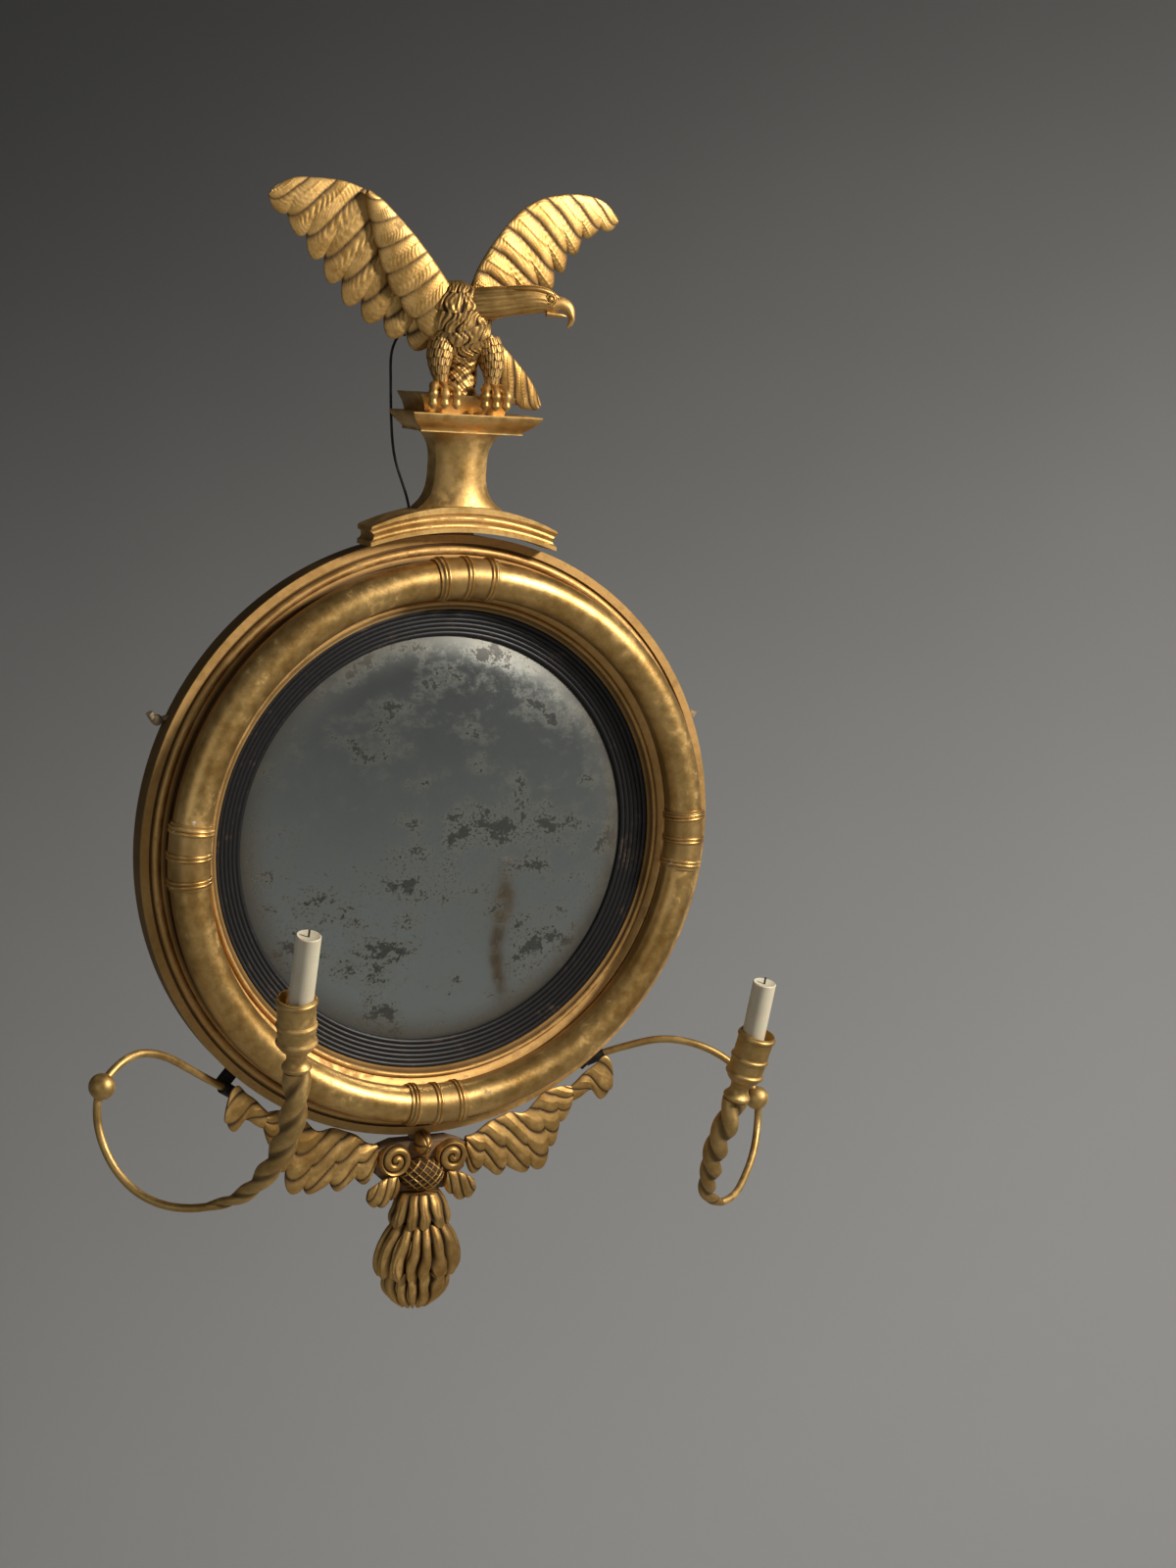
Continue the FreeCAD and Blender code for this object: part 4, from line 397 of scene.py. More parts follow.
WAX.node_tree.nodes["Principled BSDF"].inputs["Subsurface Scale"].default_value = 0.006

# %% [markdown]
# ## Turned mouldings
# The rim, the large half-round, the inner moulding and the slip were turned on a lathe.
# Each is an outline of radius against depth, swept round the mirror's axis. A groove is
# found from the outline itself: a point is as hollow as it lies below the slopes that
# fall away from its neighbours.

# %% Outlines with bowed sides
RING_STEPS = 360
ARC_STEPS, STRAIGHT_STEPS = 12, 5


def outline(corners):
    """Closed outline; a third value is the radius of the side that reaches the corner.

    A bowed side is the circle through both ends. Its middle stands off the straight side
    by radius - sqrt(radius^2 - half^2), to the left of the way for a positive radius.
    """
    runs = []
    previous = np.array(corners[-1][:2], float)
    for corner in corners:
        end = np.array(corner[:2], float)
        count = ARC_STEPS if len(corner) == 3 else STRAIGHT_STEPS
        steps = np.arange(1, count + 1)[:, None] / count
        run = previous + (end - previous) * steps
        if len(corner) == 3:
            chord = end - previous
            half = np.linalg.norm(chord) / 2
            radius = abs(corner[2])
            drop = math.sqrt(max(radius**2 - half**2, 0))
            left = np.array([-chord[1], chord[0]]) / (2 * half) * math.copysign(1, corner[2])
            off = half * (2 * steps - 1)
            run = run + left * (np.sqrt(np.maximum(radius**2 - off**2, 0)) - drop)
        runs.append(run)
        previous = end
    return np.vstack(runs)


def groove_marks(section, reach=3.0, slope=0.55):
    """How far each point lies below the cones that stand on its neighbours, 0 to 1."""
    radius, height = section[:, 0], -section[:, 1]
    cones = height[None, :] - slope * np.abs(radius[:, None] - radius[None, :])
    return np.clip((cones.max(axis=1) - height) / reach, 0, 1)


def turned_ring(section, marks=None):
    """Outline (radius, depth) swept round the Y axis: x = r sin t, y = depth, z = r cos t."""
    turn = np.linspace(0, 2 * math.pi, RING_STEPS, endpoint=False)[:, None]
    radius, depth = section[:, 0], section[:, 1]
    grid = np.stack((radius * np.sin(turn), depth + 0 * turn, radius * np.cos(turn)), axis=-1)
    return skin(grid, groove_marks(section) if marks is None else marks, ring=True)


# %% The rim
RIM_FRONT = -25.6
GROOVE_IN, BEAD_IN, BAND_IN, CHANNEL_IN = 289.4, 281.0, 276.2, 270.4
PLATFORM = -33.6
INNER_SEAT, SLIP_SEAT, LEDGE = -29.5, -24.0, -14.0
rim_outline = outline([
    (240, 0), (299.4, 0), (300, RIM_FRONT), (292, RIM_FRONT), (291.4, RIM_FRONT + 2.2),
    (GROOVE_IN + 0.6, RIM_FRONT + 2.2), (GROOVE_IN, RIM_FRONT - 0.4),
    (BEAD_IN, RIM_FRONT - 0.4, 4.3), (BEAD_IN, RIM_FRONT - 1.9), (BAND_IN, RIM_FRONT - 1.9),
    (BAND_IN, RIM_FRONT + 4.1), (CHANNEL_IN, RIM_FRONT + 4.1), (CHANNEL_IN, PLATFORM),
    (245.8, PLATFORM), (245.8, INNER_SEAT), (238, INNER_SEAT), (238, SLIP_SEAT),
    (212, SLIP_SEAT), (212, LEDGE), (240, LEDGE)])
carved("rim", [turned_ring(rim_outline)], MATT_GILT, ["frame_rim"], crease=35)

# %% The large half-round, the inner moulding and the slip
TUBE_RING, TUBE_RADIUS, TUBE_DEPTH, TUBE_SEAT = 261.0, 18.2, -49.6, 16.0
seat_angle = math.atan2(TUBE_SEAT, math.sqrt(TUBE_RADIUS**2 - TUBE_SEAT**2))
round_angle = np.linspace(seat_angle, seat_angle - (math.pi + 2 * seat_angle), 72)
tube_outline = np.stack((TUBE_RING + TUBE_RADIUS * np.cos(round_angle),
                         TUBE_DEPTH + TUBE_RADIUS * np.sin(round_angle)), axis=-1)
# Painted shade: the sides of the tube near its foot are marked hollow, so the gilding darkens them
# where the tube sits down on the frame.
beside_rim = np.abs(tube_outline[:, 0] - TUBE_RING) / TUBE_RADIUS
tube_foot_shade_marks = np.clip((beside_rim - 0.80) * 3, 0, 0.7) * (tube_outline[:, 1] > TUBE_DEPTH - 6)
carved("large_half-round", [turned_ring(tube_outline, tube_foot_shade_marks)], BURNISHED,
       ["torus_moulding"])
SIGHT = 229.1
inner_outline = outline([
    (SIGHT, -29.5), (245.5, -29.5), (245.5, -38), (SIGHT + 9.6, -34.2, -22),
    (SIGHT + 9, -35.4), (SIGHT + 4.4, -34.8, 2.6), (SIGHT + 4.2, -32.4),
    (SIGHT + 0.4, -32.05), (SIGHT, -31.2)])
carved("inner_ring", [turned_ring(inner_outline)], MATT_GILT,
       ["inner_moulding"], crease=35)
SLIP_IN, REEDS = 202.5, 6
reed_corners = [(SIGHT - (SIGHT - SLIP_IN) * k / REEDS, -29.5 + 6.7 * k / REEDS,
                 (SIGHT - SLIP_IN) / REEDS * 0.62) for k in range(1, REEDS + 1)]
slip_outline = outline([(SLIP_IN, -20.8), (211.7, -20.8), (211.7, -24), (237.7, -24),
                        (237.7, -29.5), (SIGHT, -29.5)] + reed_corners)
carved("turned_slip", [turned_ring(slip_outline)], EBONISED,
       ["reeded_slip"], crease=35)

# %% [markdown]
# ## The plate
# The plate bulges 24 mm towards the room, as part of a sphere. Faceted glass would
# break the reflection, so the skin has many rings, and its rows run out over the front
# and back over the rear.

# %% The plate
PLATE_RADIUS, PLATE_RISE, PLATE_THICK, PLATE_EDGE = 208.0, 24.0, 3.0, -19.1


def convex_plate():
    """Front and back of a spherical cap: depth = edge - (sqrt(R^2 - r^2) - sqrt(R^2 - a^2))."""
    curve = (PLATE_RADIUS**2 + PLATE_RISE**2) / (2 * PLATE_RISE)
    out = np.linspace(0.004, 1, 60) * PLATE_RADIUS
    depth = PLATE_EDGE - (np.sqrt(curve**2 - out**2) - math.sqrt(curve**2 - PLATE_RADIUS**2))
    radius = np.concatenate((out, out[::-1]))
    depth = np.concatenate((depth, depth[::-1] + PLATE_THICK))
    turn = np.linspace(0, 2 * math.pi, 240, endpoint=False)
    grid = np.stack((radius[:, None] * np.sin(turn), depth[:, None] + 0 * turn,
                     radius[:, None] * np.cos(turn)), axis=-1)
    return skin(grid, (radius / PLATE_RADIUS)[:, None])


carved("convex_plate", [convex_plate()], OLD_PLATE, ["mirror_glass"], crease=60)

# %% [markdown]
# ## Collars
# Four ribbed collars clasp the half-round. Each is a sleeve that follows the tube, with
# three pairs of beads. The section runs over the outside and back under the inside.

# %% Collars
COLLAR_HALF, RIB_STEP, BEAD_STEP, BEAD_RADIUS = 6.7, 5.3, 0.41, 1.7
SLEEVE_IN, SLEEVE_WALL = 18.5, 1.1
SLEEVE_START, SLEEVE_END = math.radians(55), math.radians(-235)


def collar(clock):
    """Sleeve of radius 19.6 mm plus beads: each adds sqrt(1.7^2 - d^2) at d along the ring."""
    along = np.linspace(-COLLAR_HALF, COLLAR_HALF, 150)
    distance = np.radians(along[:, None] - np.array([
        rib * RIB_STEP + side * BEAD_STEP for rib in (-1, 0, 1) for side in (-1, 1)])) * TUBE_RING
    bead = np.sqrt(np.maximum(BEAD_RADIUS**2 - distance**2, 0)).max(axis=1)
    outer = SLEEVE_IN + np.maximum(SLEEVE_WALL, BEAD_RADIUS * 0.9 - 0.2 + bead * (bead > 0))
    round_about = np.linspace(SLEEVE_START, SLEEVE_END, 64)
    low_enough = np.minimum(TUBE_DEPTH + outer[:, None] * np.sin(round_about), PLATFORM)
    angle = np.radians(along)[:, None] + math.radians(clock)
    out_r = TUBE_RING + outer[:, None] * np.cos(round_about)
    in_r = np.broadcast_to(TUBE_RING + SLEEVE_IN * np.cos(round_about[::-1]), out_r.shape)
    under = np.minimum(TUBE_DEPTH + SLEEVE_IN * np.sin(round_about[::-1]), PLATFORM)
    in_y = np.broadcast_to(under, out_r.shape)
    radius, depth = np.hstack((out_r, in_r)), np.hstack((low_enough, in_y))
    grid = np.stack((radius * np.sin(angle), depth, radius * np.cos(angle)), axis=-1)
    # Painted shade: the sleeve between the beads is marked hollow, so the gilding darkens it
    # there.
    marks = np.clip(1 - (outer - SLEEVE_IN) / 3.0, 0, 1)[:, None] * 0.9
    return skin(grid, marks)


for word, clock in (("top", 0), ("right", 90), ("bottom", 180), ("left", 270)):
    carved("%s_collar" % word, [collar(clock)], BURNISHED, ["collar_" + word])

# %% [markdown]
# ## Feathers and leaves
# A wing and an acanthus leaf are both a thin blade between two edge lines: the leading
# edge is plain and the other has rounded lobes. From each lobe a feather or a flute runs
# back up the blade at a slant. It is cut as a pillow with a raised vein down its middle
# and fine slanting barbs.

# %% A carved blade


def blade(edge_a, edge_b, thickness, lobes, notch, slant, depth, vein=0.25, barbs=0.0,
          barb_count=26, flatness=2.0, rows=40, columns=96, shift=(0, 0, 0), mirror=1):
    """Blade skin: round the section, share = (1 - cos t) / 2 goes from edge a to edge b.

    The lift is thickness / 2 sin t. On the front it is cut by a feather pattern whose
    phase is lobes u + slant (1 - share), so that each feather leans along the blade. A
    feather is a pillow 1 - |a|^flatness across its width, with a rib and V-shaped strokes.
    """
    u = np.linspace(0, 1, lobes * rows + 1)
    turn = np.linspace(0, 2 * math.pi, columns, endpoint=False)
    share = (1 - np.cos(turn))[None, :] / 2
    side = np.sin(turn)[None, :]
    wave = np.abs(np.sin(math.pi * lobes * u))[:, None]
    a, b = smooth_line(edge_a, u), smooth_line(edge_b, u)
    b = a + (b - a) * (1 - notch * (1 - wave**0.7))
    body = np.interp(u, np.linspace(0, 1, len(thickness)), thickness)[:, None]
    phase = lobes * u[:, None] + slant * (1 - share)
    across = 2 * (phase % 1) - 1
    pillow = np.maximum(1 - np.abs(across) ** flatness, 0) ** 0.6
    rib = np.exp(-((across / 0.10) ** 2))
    stroke = barb_count * share - 1.6 * np.abs(across) + 0.25 * np.sin(9 * phase)
    barb = np.abs(np.sin(math.pi * stroke)) - 0.5
    height = 0.70 * pillow + 0.30 * (1 - across) / 2 + vein * rib + barbs * barb * pillow
    front = side > 0
    cut = np.where(front, 1 - depth + depth * height, 1.0)
    lift = body / 2 * side * cut * (0.85 + 0.15 * wave)
    grid = a[:, None] + (b - a)[:, None] * share[..., None]
    grid = grid + lift[..., None] * np.array([0.0, -1.0, 0.0])
    grid = grid * np.array([mirror, 1, 1]) + np.array(shift, float)
    hollow = np.where(front, np.clip(1.05 - height, 0, 1) * np.minimum(1, depth * 2.5), 0.5)
    return skin(grid, hollow)


# %% [markdown]
# ## Wings
# The wings spread flat, parallel to the wall. The nearer wing has a second layer of
# short feathers over its shoulder.

# %% Wings
ON_SLAB = (0, 0, SLAB_TOP)
LEFT_LEADING = [(-31, -47, 98), (-44, -46, 114), (-58, -45, 131), (-73, -44, 147), (-89, -42, 163),
                (-105, -40, 175), (-121, -37, 182.5), (-139, -35, 186.5), (-160, -33, 186.8),
                (-184, -31, 184.5), (-199, -30, 176)]
LEFT_TRAILING = [(-46, -38, 34), (-62, -37, 40), (-82, -36, 48), (-101, -35, 58), (-121, -34, 70),
                 (-139, -33, 88), (-157, -32, 110), (-174, -31, 131), (-190, -30, 149),
                 (-200, -29, 158), (-205.5, -29, 167)]
RIGHT_LEADING = [(-8, -44, 99), (-2, -43, 115), (8, -42, 133), (21, -41, 151), (36, -39, 168),
                 (53, -37, 181), (74, -35, 189.5), (97, -33, 193.5), (120, -31, 193),
                 (137, -30, 187), (149, -29, 175)]
RIGHT_TRAILING = [(14, -36, 66), (50, -36, 84), (77, -35, 99), (89, -34, 114), (98, -33, 129),
                  (108, -32, 141), (117, -31, 152), (127, -30, 158), (137, -29, 161),
                  (145, -28, 164), (150.5, -28, 169)]
SHOULDER_LEADING = [(-27, -54, 92), (-40, -54, 109), (-56, -53, 128), (-71, -52, 144),
                    (-88, -50, 160), (-103, -48, 173), (-115, -45, 180)]
SHOULDER_TRAILING = [(-48, -50, 48), (-64, -50, 62), (-82, -49, 82), (-96, -48, 104),
                     (-105, -47, 128), (-112, -46, 152), (-117, -45, 174)]
WING_THICK = [16, 15, 13.5, 12, 11, 10, 9, 8, 7, 5, 3]
gilded("left_wing", [blade(LEFT_LEADING, LEFT_TRAILING, WING_THICK, 8, 0.16, 1.3, 0.50,
                           vein=0.22, barbs=0.26, barb_count=22, flatness=3.2, shift=ON_SLAB)],
       "eagle_left_wing")
gilded("right_wing", [blade(RIGHT_LEADING, RIGHT_TRAILING, WING_THICK, 8, 0.18, 1.3, 0.50,
                            vein=0.22, barbs=0.26, barb_count=18, flatness=3.2, shift=ON_SLAB)],
       "eagle_right_wing")
gilded("left_shoulder_feathers", [blade(SHOULDER_LEADING, SHOULDER_TRAILING, WING_THICK[:7], 6,
                                        0.08, 0.7, 0.32, vein=0.2, barbs=0.2, barb_count=11,
                                        flatness=3.2, shift=ON_SLAB)],
       "eagle_left_shoulder")

# %% [markdown]
# ## Round limbs
# The breast, neck, legs and drops are lofted ovals along a curved middle line. A relief
# array scales each oval, which cuts flutes, feathers or strands into it.

# %% A limb of ovals


def limb(stations, over, relief=None, rows=120, columns=96, hollow=None):
    """Ovals on a smooth middle line: centre + across w cos t + up h sin t.

    A station is (x, y, z, half width, half height). relief(u, t) multiplies the oval.
    """
    u = np.linspace(0, 1, rows)
    turn = np.linspace(0, 2 * math.pi, columns, endpoint=False)
    line = smooth_line(stations, u)
    way = unit(np.gradient(line[:, :3], axis=0))
    across = unit(np.cross(way, over))
    up = unit(np.cross(across, way))
    scale = np.ones((rows, columns)) if relief is None else relief(u[:, None], turn[None, :])
    wide = line[:, 3:4] * np.cos(turn) * scale
    high = line[:, 4:5] * np.sin(turn) * scale
    grid = line[:, None, :3] + wide[..., None] * across[:, None] + high[..., None] * up[:, None]
    if hollow is None:
        hollow = np.clip((1.02 - scale) * 9, 0, 1)
    return skin(grid + np.array(ON_SLAB, float), hollow)


def scales(u, turn, rows, around, depth):
    """Overlapping scallops: each row is half a scallop round from the last."""
    row = np.floor(u * rows)
    down = u * rows - row
    across = 2 * ((turn / (2 * math.pi) * around + 0.5 * (row % 2)) % 1) - 1
    rounded = np.sqrt(np.maximum(1 - across**2, 0))
    tongue = np.clip((rounded + 0.35 - down) * 3, 0, 1) * (0.5 + 0.5 * down)
    scratch = 0.22 * np.sin(across * 9 + down * 2) * rounded
    return 1 - depth + depth * (0.7 * tongue + 0.3 * rounded + scratch)


# %% [markdown]
# ## The eagle's body
# The breast is deeply scratched feather by feather. Below the belly the eagle stands on
# a rough little rock, with its thighs on either side of it.

# %% Breast and rock
BREAST = [(-13, -38, 0.2, 17, 15), (-13, -38, 8, 18, 15.5), (-12, -38, 20, 17, 14),
          (-12, -39, 31, 19, 15), (-14, -42, 44, 26, 19), (-17, -46, 60, 31, 23),
          (-20, -48, 76, 31, 24), (-20, -47, 90, 26, 21), (-19, -45, 99, 17, 14),
          (-18, -44, 103.5, 7, 6)]


def breast_relief(u, turn):
    """Rough rock below, scalloped feathers above."""
    rock = (0.99 + 0.035 * np.sin(3 * turn + 40 * u) + 0.03 * np.sin(5 * turn - 66 * u + 1)
            + 0.022 * np.sin(11 * turn + 93 * u + 2 * np.sin(3 * turn))
            + 0.012 * np.sin(23 * turn - 150 * u))
    drift = (0.30 * np.sin(9 * u) + 0.10 * np.sin(2 * turn + 31 * u)
             + 0.05 * np.sin(5 * turn - 47 * u))
    feathers = scales(1 - u + 0.012 * np.sin(4 * turn + 3), turn + drift, 8, 11, 0.10)
    feathers = feathers + 0.012 * np.sin(40 * turn + 60 * u + 3 * np.sin(7 * turn))
    part = np.clip((u - 0.30) / 0.06, 0, 1)
    return rock * (1 - part) + feathers * part


gilded("breast_and_rock", [limb(BREAST, (0, -1, 0), breast_relief, rows=260, columns=288)],
       "eagle_body", crease=70)

# %% [markdown]
# ## Neck and head
# The neck stretches forward with long combed feathers. The head has a brow that juts
# over a swirled eye, and a strong hooked beak with its lower half closed under it.

# %% Neck, brow, eye and beak
NECK = [(-12, -56, 84, 13, 15), (0, -64, 86, 13, 15), (12, -70, 88, 12, 14.5),
        (24, -75, 90, 11, 13.5), (34, -79, 91.5, 11, 13.5), (44, -82, 92, 10.5, 12.5),
        (53, -85, 90.5, 8.5, 10), (59, -87, 88, 6, 8), (63, -88, 86, 4.4, 6.4)]
BEAK = [(56, -86.4, 89.5, 6, 8), (62, -88.4, 90.5, 5, 6.6), (68, -90, 89.5, 4.6, 6.2),
        (73.5, -91.6, 85, 4, 5.2), (75.6, -92, 78.5, 3, 3.8), (74.8, -92, 73, 2, 2.6),
        (72, -91.4, 68.6, 0.8, 1)]
LOWER_BEAK = [(52, -86, 80.5, 5, 3.2), (60, -88.4, 80, 4, 2.6), (66, -90, 79.6, 3.2, 2.2),
              (70.5, -91, 78.6, 1.6, 1.2)]
BROW = [(16, -74, 101, 3, 2), (28, -79, 102, 7.5, 3), (42, -84, 102, 8.5, 3.4),
        (54, -88, 99, 6, 3), (62, -90, 95, 3, 1.6)]
EYE = (52.0, -93.2, 93.6)


def combed(u, turn):
    """Long feathers: slow waves along the neck, sharper towards the breast."""
    strand = np.sin(14 * turn + 2.2 * np.sin(5 * u)) + 0.6 * np.sin(23 * turn - 4 * u + 1.3)
    return 0.985 + 0.022 * strand * (1 - 0.55 * u)


def bead(centre, radii):
    """Ellipsoid: centre + (a cos t sin p, -b cos p, c sin t sin p), facing the room."""
    polar = np.linspace(0.04, math.pi - 0.04, 16)[:, None]
    turn = np.linspace(0, 2 * math.pi, 24, endpoint=False)[None, :]
    grid = np.stack((radii[0] * np.sin(polar) * np.cos(turn), -radii[1] * np.cos(polar) + 0 * turn,
                     radii[2] * np.sin(polar) * np.sin(turn)), axis=-1)
    return skin(grid + np.array(centre) + np.array(ON_SLAB), 0.2)


def hoop(centre, radius, wire, normal_turn, hollow=0.1):
    """Ring round the Y direction, turned a little about Z so that it sits on a cheek."""
    about = np.linspace(0, 2 * math.pi, 40, endpoint=False)[:, None]
    turn = np.linspace(0, 2 * math.pi, 14, endpoint=False)[None, :]
    flat = np.stack(((radius + wire * np.cos(turn)) * np.cos(about),
                     wire * np.sin(turn) + 0 * about,
                     (radius + wire * np.cos(turn)) * np.sin(about)), axis=-1)
    spin = np.array(Matrix.Rotation(normal_turn, 3, "Z"))
    return skin(flat @ spin.T + np.array(centre) + np.array(ON_SLAB), hollow, ring=True)


cheek = math.radians(-18)
gilded("neck_and_head", [
    limb(NECK, (0, 0, 1), combed, rows=160, columns=180),
    limb(BEAK, (0, 0.3, 1), rows=60, columns=40),
    limb(LOWER_BEAK, (0, 0, 1), rows=40, columns=30),
    limb(BROW, (0, 0, 1), rows=60, columns=40),
    bead(EYE, (2.6, 2.2, 2.6)),
    hoop(EYE, 4.1, 0.9, cheek),
    hoop((EYE[0], EYE[1] + 1.2, EYE[2]), 6.2, 0.8, cheek, hollow=0.35),
], "eagle_head", crease=70)

# %% [markdown]
# ## Legs and tail
# A feathered thigh narrows to a foot with three toes. Each toe bends down over the edge
# of the slab, with knuckles like small balls.

# %% Legs
SLAB_EDGE = -63.0


def toe(side_x, toe_x):
    """Tube over the slab's edge; its radius swells at the knuckle, the bend and the claw."""
    spread = toe_x - side_x
    marks = [(side_x + spread * 0.35, -56.5, 7, 3.4, 3.4),
             (side_x + spread * 0.75, SLAB_EDGE + 0.5, 7.2, 4.9, 4.9),
             (side_x + spread * 0.92, SLAB_EDGE - 3.4, 5.2, 3.5, 3.5),
             (toe_x, SLAB_EDGE - 5.2, 1, 4.7, 4.7),
             (toe_x, SLAB_EDGE - 5.3, -4, 3.4, 3.4),
             (toe_x, SLAB_EDGE - 5.4, -9, 4.0, 4.0),
             (toe_x, SLAB_EDGE - 5.2, -12.6, 1.2, 1.2)]
    return limb(marks, (1, 0, 0), rows=70, columns=28, hollow=0.12)


def leg(side_x, toes):
    """Thigh of scalloped ovals that lean to the breast, and its three toes."""
    lean = 1 if side_x < -13 else -1
    thigh = [(side_x + 4 * lean, -48, 52, 13, 12), (side_x, -51, 38, 13, 12),
             (side_x - lean, -54, 24, 10, 9.5), (side_x, -56, 12, 6.5, 6.5),
             (side_x, -57, 3.5, 5.5, 5.5)]
    fluff = limb(thigh, (0, -1, 0), lambda u, turn: scales(u, turn, 7, 9, 0.11),
                 rows=130, columns=110)
    return [fluff] + [toe(side_x, toe_x) for toe_x in toes]


gilded("left_leg", leg(-38, (-50, -38, -26)), "eagle_left_leg", crease=70)
gilded("right_leg", leg(14, (3, 14, 25)), "eagle_right_leg", crease=70)

# %% Tail
TAIL_UPPER = [(8, -26, 66), (22, -25, 60), (38, -24, 48), (54, -23, 34), (68, -22, 20),
              (79, -20, 6), (85, -19, -6)]
TAIL_LOWER = [(-4, -25, 52), (8, -24, 38), (20, -23, 20), (36, -22, 4), (50, -21, -6),
              (64, -20, -11), (80, -19, -12)]
gilded("tail", [blade(TAIL_UPPER, TAIL_LOWER, [12, 12, 11, 10, 9, 7, 4], 5, 0.1, 1.6, 0.5,
                      vein=0.3, barbs=0.1, barb_count=18, shift=ON_SLAB)],
       "eagle_tail")

# %% [markdown]
# ## The apron's leaves
# Acanthus leaves spread from two volutes, with a curled tip leaf at each end. The flutes
# are broad and soft, and they fan out to the lobes of the lower edge.

# %% Leaves
UNDER_FRAME = (0, 0, -RIM_RADIUS)
LEAF_UPPER = [(48.6, -27, -6), (58, -27, -4), (70, -27, 5), (84, -27, 11), (98, -27, 15),
              (111, -27, 13), (122, -27, 22), (134, -27, 33), (146, -27, 37), (156, -27, 38),
              (164, -27, 37)]
LEAF_LOWER = [(48.6, -26, -33), (60, -26, -48), (74, -26, -47), (90, -26, -53), (106, -26, -50),
              (126, -26, -55), (143, -26, -42), (150, -26, -24), (156, -26, -8), (163, -26, 6),
              (169, -26, 19)]
TIP_UPPER = [(164, -27, 37), (171, -28, 44), (180, -29, 53), (190, -31, 61), (198, -32, 68),
             (204, -33, 64), (207, -33, 54)]
TIP_LOWER = [(169, -26, 19), (177, -27, 25), (187, -28, 30), (197, -29, 21), (208, -31, 27),
             (210, -32, 37), (208, -33, 49)]
SMALL_UPPER = [(27, -33, -38), (38, -34, -40), (48, -35, -44), (57, -34, -50)]
SMALL_LOWER = [(24, -33, -56), (36, -34, -68), (48, -35, -71), (60, -34, -63)]
LEAF_THICK = [13, 14, 14, 13, 12, 12, 11, 10, 9, 8, 8]

TIP_THICK = [8, 8.5, 8.5, 8, 7, 5, 3]
SMALL_THICK = [10, 11, 10, 6]
LEAVES = {
    "leaf": (LEAF_UPPER, LEAF_LOWER, LEAF_THICK, 6, 0.16, 2.4, 0.62),
    "tip_leaf": (TIP_UPPER, TIP_LOWER, TIP_THICK, 3, 0.1, 1.2, 0.6),
    "small_leaf": (SMALL_UPPER, SMALL_LOWER, SMALL_THICK, 3, 0.12, 1.0, 0.6),
}
for word, mirror in (("left", -1), ("right", 1)):
    for kind, cuts in LEAVES.items():
        gilded("%s_%s" % (word, kind), [blade(*cuts, vein=0.1, shift=UNDER_FRAME, mirror=mirror)],
               "apron_%s_%s" % (word, kind))

# %% [markdown]
# ## Volutes, boss and bud
# A volute is a rolled ribbon, so its height is a wave of the radius that slips one step
# with each turn. The boss between them has a raised net of diamonds.

# %% Volutes, boss and bud
BLOCK_FRONT, GLUE_GAP = -28.0, 0.1
VOLUTE_RADIUS, VOLUTE_ROLLS, VOLUTE_X, VOLUTE_Z = 17, 1.9, 30.7, -322.7


def volute(side):
    """Height = (5.5 + 5 sqrt |sin pi s| + 2 (1 - r / R)) mm, rounded off at the edge.

    The roll is s = 1.9 r / R - side t / 2 pi. The first row lies flat on the block.
    """
    radius = np.concatenate(([16.0], np.linspace(16.8, 0.5, 60)))[:, None]
    turn = np.linspace(0, 2 * math.pi, 120, endpoint=False)[None, :]
    slip = side * turn / (2 * math.pi)
    roll = np.abs(np.sin(math.pi * (VOLUTE_ROLLS * radius / VOLUTE_RADIUS - slip)))
    edge = np.sqrt(np.clip((17.2 - radius) / 2.5, 0, 1))
    height = (5.5 + 5.0 * np.sqrt(roll) + 2.0 * (1 - radius / VOLUTE_RADIUS)) * edge
    height[0] = 0.0
    grid = np.stack((side * VOLUTE_X + radius * np.cos(turn), BLOCK_FRONT - height,
                     VOLUTE_Z + radius * np.sin(turn)), axis=-1)
    return skin(grid, np.clip(0.9 - roll, 0, 1))


def half_oval(middle_z, half_width, half_height, depth, relief):
    """Half an ellipsoid on the block's front; relief(x, z, t) scales it."""
    polar = np.linspace(math.pi / 2, 0.03, 70)[:, None]
    turn = np.linspace(0, 2 * math.pi, 160, endpoint=False)[None, :]
    x = half_width * np.sin(polar) * np.cos(turn)
    z = half_height * np.sin(polar) * np.sin(turn)
    scale = relief(x, z, turn)
    front = BLOCK_FRONT - GLUE_GAP - depth * np.cos(polar) * scale
    grid = np.stack((x * scale, front, middle_z + z * scale), axis=-1)
    return skin(grid, np.clip((1 - scale) * 12, 0, 1))


def diamond_net(x, z, turn):
    """Raised lines midway between the whole numbers of (x + 1.15 z) / 9.5, and of x - 1.15 z."""
    first = np.abs((x + 1.15 * z) / 9.5 % 1 - 0.5)
    second = np.abs((x - 1.15 * z) / 9.5 % 1 - 0.5)
    line = np.exp(-((np.minimum(first, second) / 0.10) ** 2))
    return 0.93 + 0.07 * line


def bud_flutes(x, z, turn):
    """Five petals: the oval grows with |cos 2.5 t|."""
    return 0.93 + 0.07 * np.abs(np.cos(2.5 * turn))


for word, side in (("left", -1), ("right", 1)):
    gilded("%s_volute" % word, [volute(side)], "apron_%s_volute" % word, crease=70)
gilded("netted_boss", [half_oval(-340, 25, 18, 20, diamond_net)], "apron_boss", crease=70)
gilded("bud", [half_oval(-308.5, 10, 13, 15, bud_flutes)], "apron_bud", crease=70)

# %% [markdown]
# ## The drop
# Under the boss hangs a drop of leaves in tiers: a ruffled band and two skirts of long
# tongues. A skirt's hem is ragged, because each tongue is longest at its middle.

